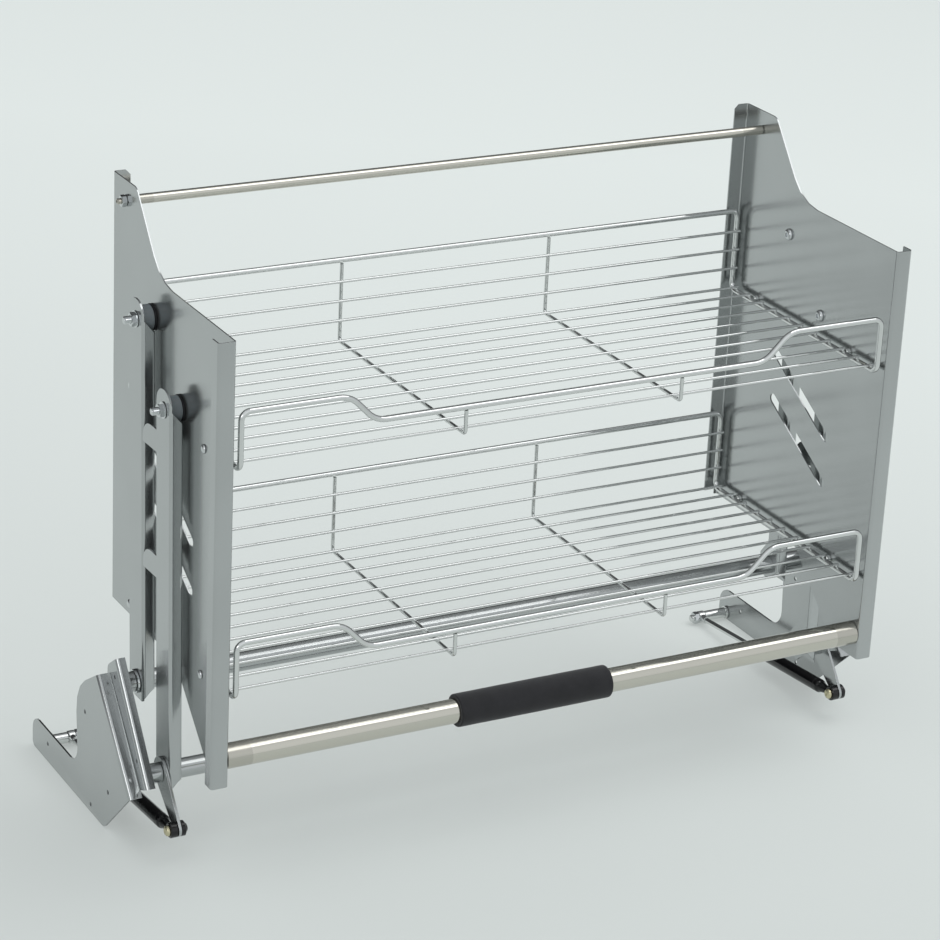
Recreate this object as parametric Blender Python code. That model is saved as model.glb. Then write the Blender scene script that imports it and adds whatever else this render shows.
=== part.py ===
"""Pull-down dish rack for a wall cabinet, built as its separate pieces.

Two sheet-steel side panels carry two wire baskets, a top rod and a handle tube.
Each panel hangs on two parallel channel arms, and the arms turn on a bracket
that is screwed to the cabinet's side wall. A gas spring works on a crank lever
at the foot of each front arm.

Frame: X runs across the cabinet, -Y points out of the cabinet, +Z is up.
The origin is on the cabinet floor, at the middle of the rack's box.
"""
import math

import bmesh
import bpy
from mathutils import Matrix, Vector

MM = 0.001

# Clearances and overruns
seat_gap = 0.3 * MM
run_gap = 0.3 * MM
cut_overrun = 4 * MM
weld_bite = 0.7 * MM

# Whole rack
overall_width = 864 * MM
side_room = 64 * MM
panel_back_y = 115 * MM
bracket_back_y = 180 * MM

# Side panels
panel_sheet = 1.5 * MM
panel_depth = 295 * MM
panel_bottom_z = 190 * MM
panel_height = 458 * MM
panel_drop = 79 * MM
panel_front_height = 460 * MM
panel_bend_radius = 2.5 * MM
panel_back_flange = 17 * MM
panel_front_flange = 17 * MM
panel_front_lip = 14 * MM
shoulder_run = 58 * MM
shoulder_foot_run = 119 * MM
shoulder_radius = 12 * MM
shoulder_foot_radius = 58 * MM
bottom_rear_run = 165 * MM
bottom_front_run = 47 * MM
bottom_bend_radius = 8 * MM
flange_bevel = 5 * MM
flange_bottom_lift = 6 * MM
slot_width = 11 * MM
slot_run = 103 * MM
slot_fall = 59 * MM
slot_start_run = 97 * MM
slot_upper_height = 202 * MM
slot_pitch = 52 * MM

# Arms
arm_length = 385 * MM
arm_lean = math.radians(1.25)
arm_sheet = 2 * MM
arm_width = 14 * MM
arm_depth = 34 * MM
arm_bend_radius = 2.5 * MM
arm_standoff = 3.5 * MM
inner_flange_depth = 20 * MM
inner_ear_length = 27 * MM
ear_rise = 4 * MM
ear_radius = 16 * MM
foot_radius = 3 * MM
web_top_outer_rise = 2 * MM
web_top_inner_drop = 10 * MM
web_foot_outer_drop = 14 * MM
web_foot_inner_drop = 3 * MM
pivot_step_y = 70 * MM
pivot_step_z = 69 * MM
rear_pivot_y = 6 * MM
rear_pivot_z = 145 * MM
tab_height = 23 * MM
tab_radius = 18 * MM
tab_upper_share = 0.873
tab_lower_share = 0.53
stop_gap = 0.5 * MM
bushing_radius = 13 * MM

# Cross tubes and their pivots
tube_radius = 10 * MM
tube_wall = 1.5 * MM
tube_reach = 3.5 * MM
hub_radius = 10.5 * MM
stub_length = 28 * MM
washer_radius = 12.5 * MM

# Brackets
bracket_sheet = 2 * MM
bracket_flange = 14 * MM
bracket_bend_radius = 3 * MM
base_height = 36 * MM
base_tip_radius = 17 * MM
base_heel_radius = 6 * MM
base_toe_radius = 14 * MM
base_front_y = -20 * MM
lobe_back_y = 57 * MM
lobe_notch_y = 51 * MM
lobe_shoulder_z = 126 * MM
lobe_radius = 50 * MM
notch_radius = 20 * MM
bend_top_y = 1 * MM
bend_top_z = 162 * MM
bend_bottom_y = -85 * MM
bend_bottom_z = 63 * MM
screw_hole_radius = 2.5 * MM
screw_hole_places = (
    (32 * MM, 107 * MM),
    (136 * MM, 21 * MM),
    (-30 * MM, 45 * MM),
    (16 * MM, 9 * MM),
)
dimple_radius = 3 * MM
dimple_height = 0.8 * MM
dimple_crown_share = 0.6
dimple_end_distance = 20 * MM

# Pivot plates inside the brackets
pivot_plate_sheet = 2.5 * MM
pivot_plate_leg = 9 * MM
pivot_plate_top_reach = 24 * MM
pivot_plate_bottom_reach = 14 * MM
pivot_plate_back_reach = 38 * MM
pivot_plate_top_rise = 7 * MM
pivot_plate_ear_width = 29 * MM
pivot_plate_ear_height = 9 * MM
pivot_plate_ear_radius = 10 * MM
pivot_plate_ear_root_radius = 3 * MM
pivot_plate_bottom_trim = 3 * MM
pivot_plate_radius = 9 * MM
pivot_plate_hole_radius = 2 * MM
pivot_plate_hole_reach = 10.5 * MM
pivot_plate_hole_lower = 8 * MM
pivot_plate_hole_spacing = 88 * MM

# Crank levers and gas springs
lever_sheet = 3 * MM
lever_top_radius = 16 * MM
lever_tip_radius = 8 * MM
lever_reach_y = 43 * MM
lever_reach_z = 43 * MM
sleeve_radius = 14 * MM
spring_eye_width = 8 * MM
spring_eye_radius = 8 * MM
spring_cylinder_radius = 7.5 * MM
spring_cylinder_length = 150 * MM
spring_neck_radius = 3.8 * MM
spring_gland_length = 8 * MM
spring_gland_radius = 6 * MM
spring_rod_radius = 3 * MM
spring_rod_tail = 14 * MM
spring_bore_stop = 28 * MM
rod_eye_radius = 7 * MM
pin_radius = 4 * MM
pin_head_radius = 5.5 * MM
pin_head_height = 4 * MM
cap_radius = 8 * MM
cap_height = 5 * MM
cap_crown_height = 2.5 * MM
cap_crown_radius = 4.5 * MM
stud_y = 165 * MM
stud_z = 8 * MM
stud_radius = 6 * MM
stud_foot_radius = 7.5 * MM
stud_foot_height = 2 * MM
stud_tail = 10 * MM
nut_radius = 7 * MM
nut_height = 5.5 * MM

# Pivot bolts at the panels
bolt_radius = 4 * MM
bolt_head_radius = 6 * MM
bolt_head_height = 3.5 * MM
bolt_tail = 7 * MM

# Top rod
top_rod_radius = 5 * MM
top_rod_back_run = 32 * MM
top_rod_drop = 21 * MM
rod_thread_radius = 3 * MM
rod_nut_radius = 6 * MM
rod_nut_height = 5 * MM
rod_thread_tail = 4 * MM

# Handle
handle_radius = 12.7 * MM
handle_wall = 1.5 * MM
handle_front_run = 13.3 * MM
handle_rise = 27 * MM
plug_length = 15 * MM
plug_head_radius = 6 * MM
plug_head_height = 3 * MM
grip_radius = 17 * MM
grip_left_x = -113.5 * MM
grip_right_x = 62 * MM
grip_edge = 2 * MM

# Baskets
basket_rail_radius = 3 * MM
basket_wire_radius = 1.5 * MM
basket_support_radius = 2 * MM
basket_side_gap = 5 * MM
basket_back_run = 10 * MM
basket_depth = 280 * MM
basket_back_height = 90 * MM
basket_front_height = 58.5 * MM
basket_low_height = 30 * MM
basket_corner_radius = 9 * MM
basket_dip_radius = 28 * MM
basket_dip_start_run = 112.5 * MM
basket_dip_end_run = 140.5 * MM
basket_support_share = 0.339
basket_wire_tail = 2 * MM
floor_wire_count = 11
floor_wire_start = 10 * MM
floor_wire_pitch = 26 * MM
wall_wire_count = 3
wall_wire_start = 25.5 * MM
wall_wire_pitch = 21.2 * MM
basket_lower_lift = 12.5 * MM
basket_pitch = 237.5 * MM
lug_radius = 5 * MM
lug_back_run = 40 * MM
lug_front_run = 218 * MM
lug_bore_depth = 5 * MM
screw_radius = 2 * MM
screw_head_radius = 4.5 * MM
screw_head_height = 2.5 * MM

# Facets
round_sides = 24
small_sides = 12
nut_sides = 6
wire_sides = 6
rail_sides = 8
arc_step_share = 1 / 20
wire_step_share = 1 / 16

# Places worked out from the sizes
wall_x = overall_width / 2
plate_in_x = wall_x - bracket_sheet
panel_in_x = wall_x - side_room
panel_out_x = panel_in_x + panel_sheet
panel_front_y = panel_back_y - panel_depth
panel_top_z = panel_bottom_z + panel_height
panel_low_z = panel_bottom_z - panel_drop
panel_front_top_z = panel_low_z + panel_front_height
arm_in_x = panel_out_x + arm_standoff
arm_out_x = arm_in_x + arm_width
flange_end_x = wall_x - bracket_flange
plate_pivot_out_x = flange_end_x - seat_gap
plate_pivot_in_x = plate_pivot_out_x - pivot_plate_sheet
rear_low = Vector((0, rear_pivot_y, rear_pivot_z))
front_low = rear_low - Vector((0, pivot_step_y, pivot_step_z))
arm_way = Vector((0, math.sin(arm_lean), math.cos(arm_lean)))
arm_pitch = pivot_step_y * math.cos(arm_lean) - pivot_step_z * math.sin(arm_lean)
rear_high = rear_low + arm_way * arm_length
front_high = front_low + arm_way * arm_length
lever_tip = front_low - Vector((0, lever_reach_y, lever_reach_z))
stud_place = Vector((0, stud_y, stud_z))
lever_left_x = arm_out_x + seat_gap
spring_in_x = lever_left_x + lever_sheet + run_gap
spring_out_x = spring_in_x + spring_eye_width
lever_right_x = spring_out_x + run_gap
basket_end_x = panel_in_x - basket_side_gap - basket_rail_radius
basket_back_y = panel_back_y - basket_back_run
basket_front_y = basket_back_y - basket_depth
bore_radius = pin_radius + run_gap
bolt_bore_radius = bolt_radius + run_gap
tube_bore_radius = tube_radius + seat_gap
sides = (("left", -1), ("right", 1))


def at_x(place, x):
    """Gives the point at the Y and Z of a place and at a distance x."""
    return Vector((x, place[1], place[2]))


def fillet(corners):
    """Rounds the corners of an outline; a corner is a point and its radius."""
    points = []
    count = len(corners)
    for index, (point, radius) in enumerate(corners):
        here = Vector(point)
        before = Vector(corners[index - 1][0]) - here
        after = Vector(corners[(index + 1) % count][0]) - here
        if radius <= 0:
            points.append(here)
            continue
        points.extend(corner_arc(here, before, after, radius))
    return points


def corner_arc(here, before, after, radius, step_share=arc_step_share):
    """Gives the points of the arc that rounds one corner."""
    before_way = before.normalized()
    after_way = after.normalized()
    opening = before_way.angle(after_way)
    turn = math.pi - opening
    reach = radius * math.tan(turn / 2)
    room = min(before.length, after.length)
    if reach > room:
        radius = radius * room / reach
        reach = room
    middle_way = (before_way + after_way).normalized()
    centre = here + middle_way * (radius / math.cos(turn / 2))
    start = here + before_way * reach - centre
    end = here + after_way * reach - centre
    steps = max(2, round(turn / (math.tau * step_share)))
    arc = []
    for step in range(steps + 1):
        share = step / steps
        weight_end = math.sin(turn * share) / math.sin(turn)
        weight_start = math.sin(turn * (1 - share)) / math.sin(turn)
        arc.append(centre + start * weight_start + end * weight_end)
    return arc


def open_fillet(corners, step_share=arc_step_share):
    """Rounds the inner corners of an open path and keeps its two ends."""
    points = [Vector(corners[0][0])]
    for index in range(1, len(corners) - 1):
        here = Vector(corners[index][0])
        before = Vector(corners[index - 1][0]) - here
        after = Vector(corners[index + 1][0]) - here
        points.extend(corner_arc(here, before, after, corners[index][1], step_share))
    points.append(Vector(corners[-1][0]))
    return points


def sheet_section(corners, thickness):
    """Gives the outline of a bent sheet from the corners of its middle line."""
    path = open_fillet([((x, y, 0), radius) for (x, y), radius in corners])
    left = []
    right = []
    for index, point in enumerate(path):
        before = point - path[max(index - 1, 0)]
        after = path[min(index + 1, len(path) - 1)] - point
        if before.length == 0:
            before = after
        if after.length == 0:
            after = before
        way = (before.normalized() + after.normalized()).normalized()
        across = Vector((-way.y, way.x, 0))
        stretch = thickness / 2 / math.cos(before.angle(after) / 2)
        left.append(point + across * stretch)
        right.append(point - across * stretch)
    return [(p.x, p.y) for p in left + right[::-1]]


def add_extrusion(bm, outline, way):
    """Adds a closed solid: a flat outline of 3D points pushed along a vector."""
    base = [bm.verts.new(point) for point in outline]
    top = [bm.verts.new(Vector(point) + way) for point in outline]
    bm.faces.new(base)
    bm.faces.new(top[::-1])
    count = len(base)
    for index in range(count):
        following = (index + 1) % count
        bm.faces.new((base[index], top[index], top[following], base[following]))


def add_plate(bm, outline, x_start, x_end):
    """Adds an outline in Y and Z as a plate between two places along X."""
    points = [Vector((x_start, p[0], p[1])) for p in outline]
    add_extrusion(bm, points, Vector((x_end - x_start, 0, 0)))


def add_column(bm, outline, z_start, z_end):
    """Adds an outline in X and Y as a column between two heights."""
    points = [Vector((p[0], p[1], z_start)) for p in outline]
    add_extrusion(bm, points, Vector((0, 0, z_end - z_start)))


def add_block(bm, low, high):
    """Adds a box between two corners."""
    outline = ((low[1], low[2]), (high[1], low[2]), (high[1], high[2]), (low[1], high[2]))
    add_plate(bm, outline, low[0], high[0])


def ring_of(centre, way, radius, count):
    """Gives the corners of a regular polygon, square to a direction."""
    helper = Vector((0, 0, 1)) if abs(way.z) < abs(way.y) + abs(way.x) else Vector((0, 1, 0))
    side = way.cross(helper).normalized()
    up = side.cross(way).normalized()
    points = []
    for index in range(count):
        angle = math.tau * (index + 1 / 2) / count
        points.append(centre + side * (radius * math.cos(angle)) + up * (radius * math.sin(angle)))
    return points


def add_rod(bm, start, end, radius, count):
    """Adds a round rod between two points."""
    start = Vector(start)
    way = Vector(end) - start
    add_extrusion(bm, ring_of(start, way.normalized(), radius, count), way)


def add_cross_rod(bm, place, x_start, x_end, radius, count):
    """Adds a round rod along X at the Y and Z of a place."""
    add_rod(bm, at_x(place, x_start), at_x(place, x_end), radius, count)


def add_turned(bm, place, profile, count):
    """Adds a turned solid along X; the profile lists x and radius in order."""
    rings = []
    for x, radius in profile:
        rings.append([bm.verts.new(p) for p in ring_of(at_x(place, x), Vector((1, 0, 0)), radius, count)])
    bm.faces.new(rings[0])
    bm.faces.new(rings[-1][::-1])
    for first, second in zip(rings, rings[1:]):
        for index in range(count):
            following = (index + 1) % count
            bm.faces.new((first[index], second[index], second[following], first[following]))


def add_wire(bm, path, radius, count, closed):
    """Sweeps a round section along a path of points."""
    total = len(path)
    ways = []
    for index in range(total - 1):
        ways.append((path[index + 1] - path[index]).normalized())
    ways.append((path[0] - path[-1]).normalized() if closed else ways[-1])
    section = [p - path[0] for p in ring_of(path[0], ways[0], radius, count)]
    rings = []
    for index, point in enumerate(path):
        before = ways[index - 1] if index or closed else ways[0]
        after = ways[index]
        if index:
            turn = before.rotation_difference(after)
            section = [turn @ offset for offset in section]
        normal = (before + after).normalized()
        ring = []
        for offset in section:
            slide = offset.dot(normal) / after.dot(normal)
            ring.append(bm.verts.new(point + offset - after * slide))
        rings.append(ring)
    spans = list(zip(rings, rings[1:]))
    for first, second in spans:
        bridge(bm, first, second, 0)
    if closed:
        distances = [(rings[0][shift].co - rings[-1][0].co).length for shift in range(count)]
        bridge(bm, rings[-1], rings[0], distances.index(min(distances)))
    else:
        bm.faces.new(rings[0])
        bm.faces.new(rings[-1][::-1])


def bridge(bm, first, second, shift):
    """Joins two rings of a tube with faces."""
    count = len(first)
    for index in range(count):
        following = (index + 1) % count
        partner = second[(index + shift) % count]
        next_partner = second[(following + shift) % count]
        bm.faces.new((first[index], partner, next_partner, first[following]))


def to_mesh(bm, name):
    """Closes a bmesh into a mesh whose faces point out."""
    bmesh.ops.recalc_face_normals(bm, faces=bm.faces[:])
    mesh = bpy.data.meshes.new(name)
    bm.to_mesh(mesh)
    bm.free()
    return mesh


def combined(mesh, tool_bm, operation):
    """Gives the mesh after a Boolean operation with a second solid."""
    base = bpy.data.objects.new("base", mesh)
    tool = bpy.data.objects.new("tool", to_mesh(tool_bm, "tool"))
    for item in (base, tool):
        bpy.context.scene.collection.objects.link(item)
    modifier = base.modifiers.new("combine", "BOOLEAN")
    modifier.operation = operation
    modifier.solver = "EXACT"
    modifier.object = tool
    bpy.context.view_layer.update()
    seen = base.evaluated_get(bpy.context.evaluated_depsgraph_get())
    result = bpy.data.meshes.new_from_object(seen)
    for item in (base, tool):
        bpy.data.objects.remove(item)
    return result


def make_material(name, colour, metallic, roughness):
    """Makes a plain surface from its colour, metallic and roughness values."""
    material = bpy.data.materials.new(name)
    material.use_nodes = True
    shader = material.node_tree.nodes["Principled BSDF"]
    shader.inputs["Base Color"].default_value = (*colour, 1)
    shader.inputs["Metallic"].default_value = metallic
    shader.inputs["Roughness"].default_value = roughness
    return material


def place_piece(name, mesh, material, origin, smooth=True):
    """Makes the named object, with its origin on its joint's axis."""
    mesh.name = name
    mesh.transform(Matrix.Translation(-Vector(origin)))
    mesh.materials.clear()
    mesh.materials.append(material)
    if smooth:
        mesh.shade_smooth()
        mesh.set_sharp_from_angle(angle=math.tau / 12)
    item = bpy.data.objects.new(name, mesh)
    item.location = origin
    bpy.context.scene.collection.objects.link(item)
    return item


def panel_outline():
    """Gives the panel's side outline: raised shoulder behind, dropped foot in front."""
    shoulder_y = panel_back_y - shoulder_run
    foot_y = panel_back_y - shoulder_foot_run
    step_y = panel_back_y - bottom_rear_run
    low_y = panel_front_y + bottom_front_run
    reach = cut_overrun
    corners = (
        ((panel_back_y + reach, panel_bottom_z), 0),
        ((panel_back_y + reach, panel_top_z), 0),
        ((shoulder_y, panel_top_z), shoulder_radius),
        ((foot_y, panel_front_top_z), shoulder_foot_radius),
        ((panel_front_y - reach, panel_front_top_z), 0),
        ((panel_front_y - reach, panel_low_z), 0),
        ((low_y, panel_low_z), bottom_bend_radius),
        ((step_y, panel_bottom_z), bottom_bend_radius),
    )
    return fillet(corners)


def slot_ends():
    """Gives the ends of the two slanted slots."""
    ends = []
    for index in range(2):
        start_y = panel_back_y - slot_start_run
        start_z = panel_bottom_z + slot_upper_height - slot_pitch * index
        ends.append((Vector((0, start_y, start_z)), Vector((0, start_y - slot_run, start_z - slot_fall))))
    return ends


def slot_outline(start, end, start_radius, end_radius):
    """Gives a long outline with a round end about each of two points."""
    way = end - start
    tilt = math.atan2(way.z, way.y)
    lean = math.acos((start_radius - end_radius) / way.length)
    points = []
    steps = round_sides // 2
    for index in range(steps + 1):
        angle = tilt + lean + (math.tau - 2 * lean) * index / steps
        points.append((start.y + start_radius * math.cos(angle), start.z + start_radius * math.sin(angle)))
    for index in range(steps + 1):
        angle = tilt - lean + 2 * lean * index / steps
        points.append((end.y + end_radius * math.cos(angle), end.z + end_radius * math.sin(angle)))
    return points


def basket_floors():
    """Gives the height of each basket's floor rails."""
    lower = panel_bottom_z + basket_lower_lift
    return (("lower", lower), ("upper", lower + basket_pitch))


def lug_places(floor_z):
    """Gives where the screws enter one basket's side rails."""
    back = Vector((0, basket_back_y - lug_back_run, floor_z))
    front = Vector((0, basket_back_y - lug_front_run, floor_z))
    return (("rear", back), ("front", front))


def top_rod_place():
    """Gives the top rod's axis."""
    return Vector((0, panel_back_y - top_rod_back_run, panel_top_z - top_rod_drop))


def handle_place():
    """Gives the handle tube's axis."""
    return Vector((0, panel_front_y + handle_front_run, panel_low_z + handle_rise))


def build_panel(name, side):
    """Bends one side panel: a flange inward behind, a channel outward in front."""
    middle = side * (panel_in_x + panel_sheet / 2)
    back_y = panel_back_y - panel_sheet / 2
    front_y = panel_front_y + panel_sheet / 2
    flange_x = middle + side * panel_front_flange
    corners = (
        ((middle - side * panel_back_flange, back_y), 0),
        ((middle, back_y), panel_bend_radius),
        ((middle, front_y), panel_bend_radius),
        ((flange_x, front_y), panel_bend_radius),
        ((flange_x, front_y + panel_front_lip), 0),
    )
    bm = bmesh.new()
    add_column(bm, sheet_section(corners, panel_sheet), panel_low_z - cut_overrun, panel_top_z + cut_overrun)
    mesh = to_mesh(bm, name)
    trim = bmesh.new()
    add_plate(trim, panel_outline(), middle - side * panel_depth / 2, middle + side * panel_depth / 2)
    mesh = combined(mesh, trim, "INTERSECT")
    cut = bmesh.new()
    x_start = middle - panel_sheet / 2 - cut_overrun
    x_end = middle + panel_sheet / 2 + cut_overrun
    for start, end in slot_ends():
        add_plate(cut, slot_outline(start, end, slot_width / 2, slot_width / 2), x_start, x_end)
    for place in (rear_high, front_high):
        add_cross_rod(cut, place, x_start, x_end, bolt_bore_radius, small_sides)
    for place in (top_rod_place(), handle_place()):
        add_cross_rod(cut, place, x_start, x_end, rod_thread_radius + run_gap, small_sides)
    for _, floor_z in basket_floors():
        for _, place in lug_places(floor_z):
            add_cross_rod(cut, place, x_start, x_end, screw_radius + run_gap, small_sides)
    free_x = middle - side * (panel_back_flange + panel_sheet)
    root_x = middle - side * (panel_bend_radius + panel_sheet)
    low_z = panel_bottom_z - cut_overrun
    add_block(
        cut,
        (free_x, back_y - panel_sheet - panel_bend_radius, low_z),
        (root_x, panel_back_y + cut_overrun, panel_bottom_z + flange_bottom_lift),
    )
    edge_x = middle - side * panel_back_flange
    far_x = edge_x - side * cut_overrun
    near_x = edge_x + side * flange_bevel
    bevel = (
        (far_x, panel_top_z + cut_overrun),
        (far_x, panel_top_z - flange_bevel),
        (edge_x, panel_top_z - flange_bevel),
        (near_x, panel_top_z),
        (near_x, panel_top_z + cut_overrun),
    )
    bevel = [Vector((x, back_y - cut_overrun, z)) for x, z in bevel]
    add_extrusion(cut, bevel, Vector((0, cut_overrun * 2, 0)))
    return combined(mesh, cut, "DIFFERENCE")


def arm_outline(low, high, half):
    """Gives an arm's side outline: a raised round ear above, a pointed foot below."""
    ear_top = high.z + half + ear_rise
    return fillet((
        ((low.y - half, low.z - half), foot_radius),
        ((low.y + half, low.z - half), ear_radius),
        ((low.y + half, ear_top), ear_radius),
        ((low.y - half, ear_top), ear_radius),
    ))


def build_arm(name, side, low, with_tabs):
    """Bends one channel arm, its web in front, and leans it back to rest."""
    high = low + Vector((0, 0, arm_length))
    half = arm_depth / 2
    inner = side * (arm_in_x + arm_sheet / 2)
    outer = side * (arm_out_x - arm_sheet / 2)
    back_y = low.y + half + cut_overrun
    web_y = low.y - half + arm_sheet / 2
    corners = (
        ((inner, back_y), 0),
        ((inner, web_y), arm_bend_radius),
        ((outer, web_y), arm_bend_radius),
        ((outer, back_y), 0),
    )
    bm = bmesh.new()
    bottom_z = low.z - half - cut_overrun
    top_z = high.z + half + ear_rise + cut_overrun
    add_column(bm, sheet_section(corners, arm_sheet), bottom_z, top_z)
    mesh = to_mesh(bm, name)
    trim = bmesh.new()
    wide_in = side * (arm_in_x - cut_overrun)
    wide_out = side * (arm_out_x + cut_overrun)
    add_plate(trim, arm_outline(low, high, half), wide_in, wide_out)
    mesh = combined(mesh, trim, "INTERSECT")
    cut = bmesh.new()
    slack_in = inner - side * (arm_sheet / 2 + cut_overrun)
    slack_mid = inner + side * (arm_sheet / 2 + run_gap)
    narrow_y = low.y - half + inner_flange_depth
    front_y = low.y - half - cut_overrun
    inner_top_z = high.z - web_top_inner_drop
    narrow = fillet((
        ((narrow_y, low.z + inner_ear_length), half / 2),
        ((back_y + cut_overrun, low.z), 0),
        ((back_y + cut_overrun, top_z), 0),
        ((front_y, top_z), 0),
        ((front_y, inner_top_z), 0),
        ((narrow_y, inner_top_z), foot_radius),
    ))
    add_plate(cut, narrow, slack_in, slack_mid)
    mesh = combined(mesh, cut, "DIFFERENCE")
    web_inner = inner + side * arm_sheet / 2
    web_outer = outer - side * arm_sheet / 2
    ahead_y = low.y - half - cut_overrun
    web_way = Vector((0, arm_sheet + arm_bend_radius + cut_overrun, 0))
    for ends in (
        ((web_outer, high.z + web_top_outer_rise), (web_inner, high.z - web_top_inner_drop), top_z),
        ((web_outer, low.z - web_foot_outer_drop), (web_inner, low.z - web_foot_inner_drop), bottom_z),
    ):
        cut = bmesh.new()
        (outer_x, outer_z), (inner_x, inner_z), far_z = ends
        wedge = ((outer_x, outer_z), (inner_x, inner_z), (inner_x, far_z), (outer_x, far_z))
        add_extrusion(cut, [Vector((x, ahead_y, z)) for x, z in wedge], web_way)
        mesh = combined(mesh, cut, "DIFFERENCE")
    cut = bmesh.new()
    chamfer = (
        (ahead_y, low.z - web_foot_inner_drop),
        (low.y - half, low.z - web_foot_inner_drop),
        (low.y, low.z - half),
        (low.y, bottom_z),
        (ahead_y, bottom_z),
    )
    add_plate(cut, chamfer, slack_in, slack_mid)
    mesh = combined(mesh, cut, "DIFFERENCE")
    cut = bmesh.new()
    middle_x = side * (arm_in_x + arm_width / 2)
    add_cross_rod(cut, low, wide_in, wide_out, tube_bore_radius, round_sides)
    add_cross_rod(cut, high, wide_in, middle_x - side * run_gap, bushing_radius + seat_gap, round_sides)
    add_cross_rod(cut, high, middle_x + side * run_gap, wide_out, bolt_bore_radius, small_sides)
    mesh = combined(mesh, cut, "DIFFERENCE")
    if with_tabs:
        tabs = bmesh.new()
        reach_y = low.y + arm_pitch - half - stop_gap
        for share in (tab_upper_share, tab_lower_share):
            height = arm_length * share
            outline = fillet((
                ((low.y + half - arm_sheet, low.z + height), 0),
                ((reach_y, low.z + height), 0),
                ((reach_y, low.z + height + tab_height), tab_radius),
                ((low.y + half - arm_sheet, low.z + height + tab_height), 0),
            ))
            add_plate(tabs, outline, side * (arm_out_x - arm_sheet), side * arm_out_x)
        mesh = combined(mesh, tabs, "UNION")
    mesh.transform(Matrix.Translation(low) @ Matrix.Rotation(-arm_lean, 4, "X") @ Matrix.Translation(-low))
    return mesh


def build_cross_tube(name, place, left_end, right_end):
    """Makes a tube across the rack, open at both ends."""
    bm = bmesh.new()
    add_cross_rod(bm, place, -left_end, right_end, tube_radius, round_sides)
    mesh = to_mesh(bm, name)
    cut = bmesh.new()
    bore = tube_radius - tube_wall
    add_cross_rod(cut, place, -left_end - cut_overrun, right_end + cut_overrun, bore, round_sides)
    return combined(mesh, cut, "DIFFERENCE")


def ring_mesh(place, x_start, x_end, radius, bore, count, bore_count=round_sides):
    """Makes a short tube along X."""
    bm = bmesh.new()
    add_cross_rod(bm, place, x_start, x_end, radius, count)
    mesh = to_mesh(bm, "ring")
    cut = bmesh.new()
    reach = math.copysign(cut_overrun, x_end - x_start)
    add_cross_rod(cut, place, x_start - reach, x_end + reach, bore, bore_count)
    return combined(mesh, cut, "DIFFERENCE")


def nut_mesh(place, x_start, x_end, radius, bore):
    """Makes a six-sided nut along X."""
    return ring_mesh(place, x_start, x_end, radius, bore, nut_sides, small_sides)


def bracket_axes():
    """Gives the sloped front edge of the bracket: its top end, run, way down and way back."""
    top = Vector((0, bend_top_y, bend_top_z))
    bottom = Vector((0, bend_bottom_y, bend_bottom_z))
    down = (bottom - top).normalized()
    back = Vector((0, -down.z, down.y))
    if back.y < 0:
        back = -back
    return top, (bottom - top).length, down, back


def bracket_outline():
    """Gives the outline of the wall plate, reaching past its sloped front bend."""
    top, run, down, back = bracket_axes()
    ahead = -back * cut_overrun
    top_front = top + ahead
    bottom_front = top + down * run + ahead
    corners = (
        ((base_front_y, 0), base_toe_radius),
        ((bracket_back_y, 0), base_heel_radius),
        ((bracket_back_y, base_height), base_tip_radius),
        ((lobe_notch_y, base_height), notch_radius),
        ((lobe_back_y, lobe_shoulder_z), lobe_radius),
        ((top.y, top.z), 0),
        ((top_front.y, top_front.z), 0),
        ((bottom_front.y, bottom_front.z), 0),
        ((bend_bottom_y, bend_bottom_z), 0),
    )
    return fillet(corners)


def build_bracket(name, side):
    """Bends one wall bracket: a plate on the cabinet wall and a sloped front flange."""
    top, run, down, back = bracket_axes()
    middle = wall_x - bracket_sheet / 2
    far = bracket_back_y * 2
    corners = (
        ((far, middle), 0),
        ((0, middle), bracket_bend_radius),
        ((0, flange_end_x), 0),
    )
    section = sheet_section(corners, bracket_sheet)
    start = top - down * far
    outline = [start + back * u + Vector((side * x, 0, 0)) for u, x in section]
    bm = bmesh.new()
    add_extrusion(bm, outline, down * (far * 2 + run))
    mesh = to_mesh(bm, name)
    trim = bmesh.new()
    wide = wall_x + cut_overrun
    add_plate(trim, bracket_outline(), side * (flange_end_x - cut_overrun), side * wide)
    mesh = combined(mesh, trim, "INTERSECT")
    bumps = bmesh.new()
    flange_middle = side * (flange_end_x + bracket_flange / 2 - bracket_sheet / 2)
    for distance in (dimple_end_distance, run - dimple_end_distance):
        foot = top + down * distance + Vector((flange_middle, 0, 0))
        reach = bracket_sheet / 2 + dimple_height / 2
        add_rod(bumps, foot, foot - back * reach, dimple_radius, small_sides)
    mesh = combined(mesh, bumps, "UNION")
    bumps = bmesh.new()
    for distance in (dimple_end_distance, run - dimple_end_distance):
        foot = top + down * distance + Vector((flange_middle, 0, 0))
        reach = bracket_sheet / 2 + dimple_height
        add_rod(bumps, foot, foot - back * reach, dimple_radius * dimple_crown_share, small_sides)
    mesh = combined(mesh, bumps, "UNION")
    cut = bmesh.new()
    for y, z in screw_hole_places:
        x_start = side * (plate_in_x - cut_overrun)
        add_cross_rod(cut, Vector((0, y, z)), x_start, side * wide, screw_hole_radius, small_sides)
    return combined(mesh, cut, "DIFFERENCE")


def pivot_plate_axes():
    """Gives the front bend of the pivot plate: its top end, bottom end and ways."""
    top, run, down, back = bracket_axes()
    upper = top - back * pivot_plate_top_reach - down * pivot_plate_top_rise
    lower = top + down * (run - pivot_plate_bottom_trim) - back * pivot_plate_bottom_reach
    way = (lower - upper).normalized()
    across = Vector((0, -way.z, way.y))
    if across.y < 0:
        across = -across
    return upper, lower, way, across


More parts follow.
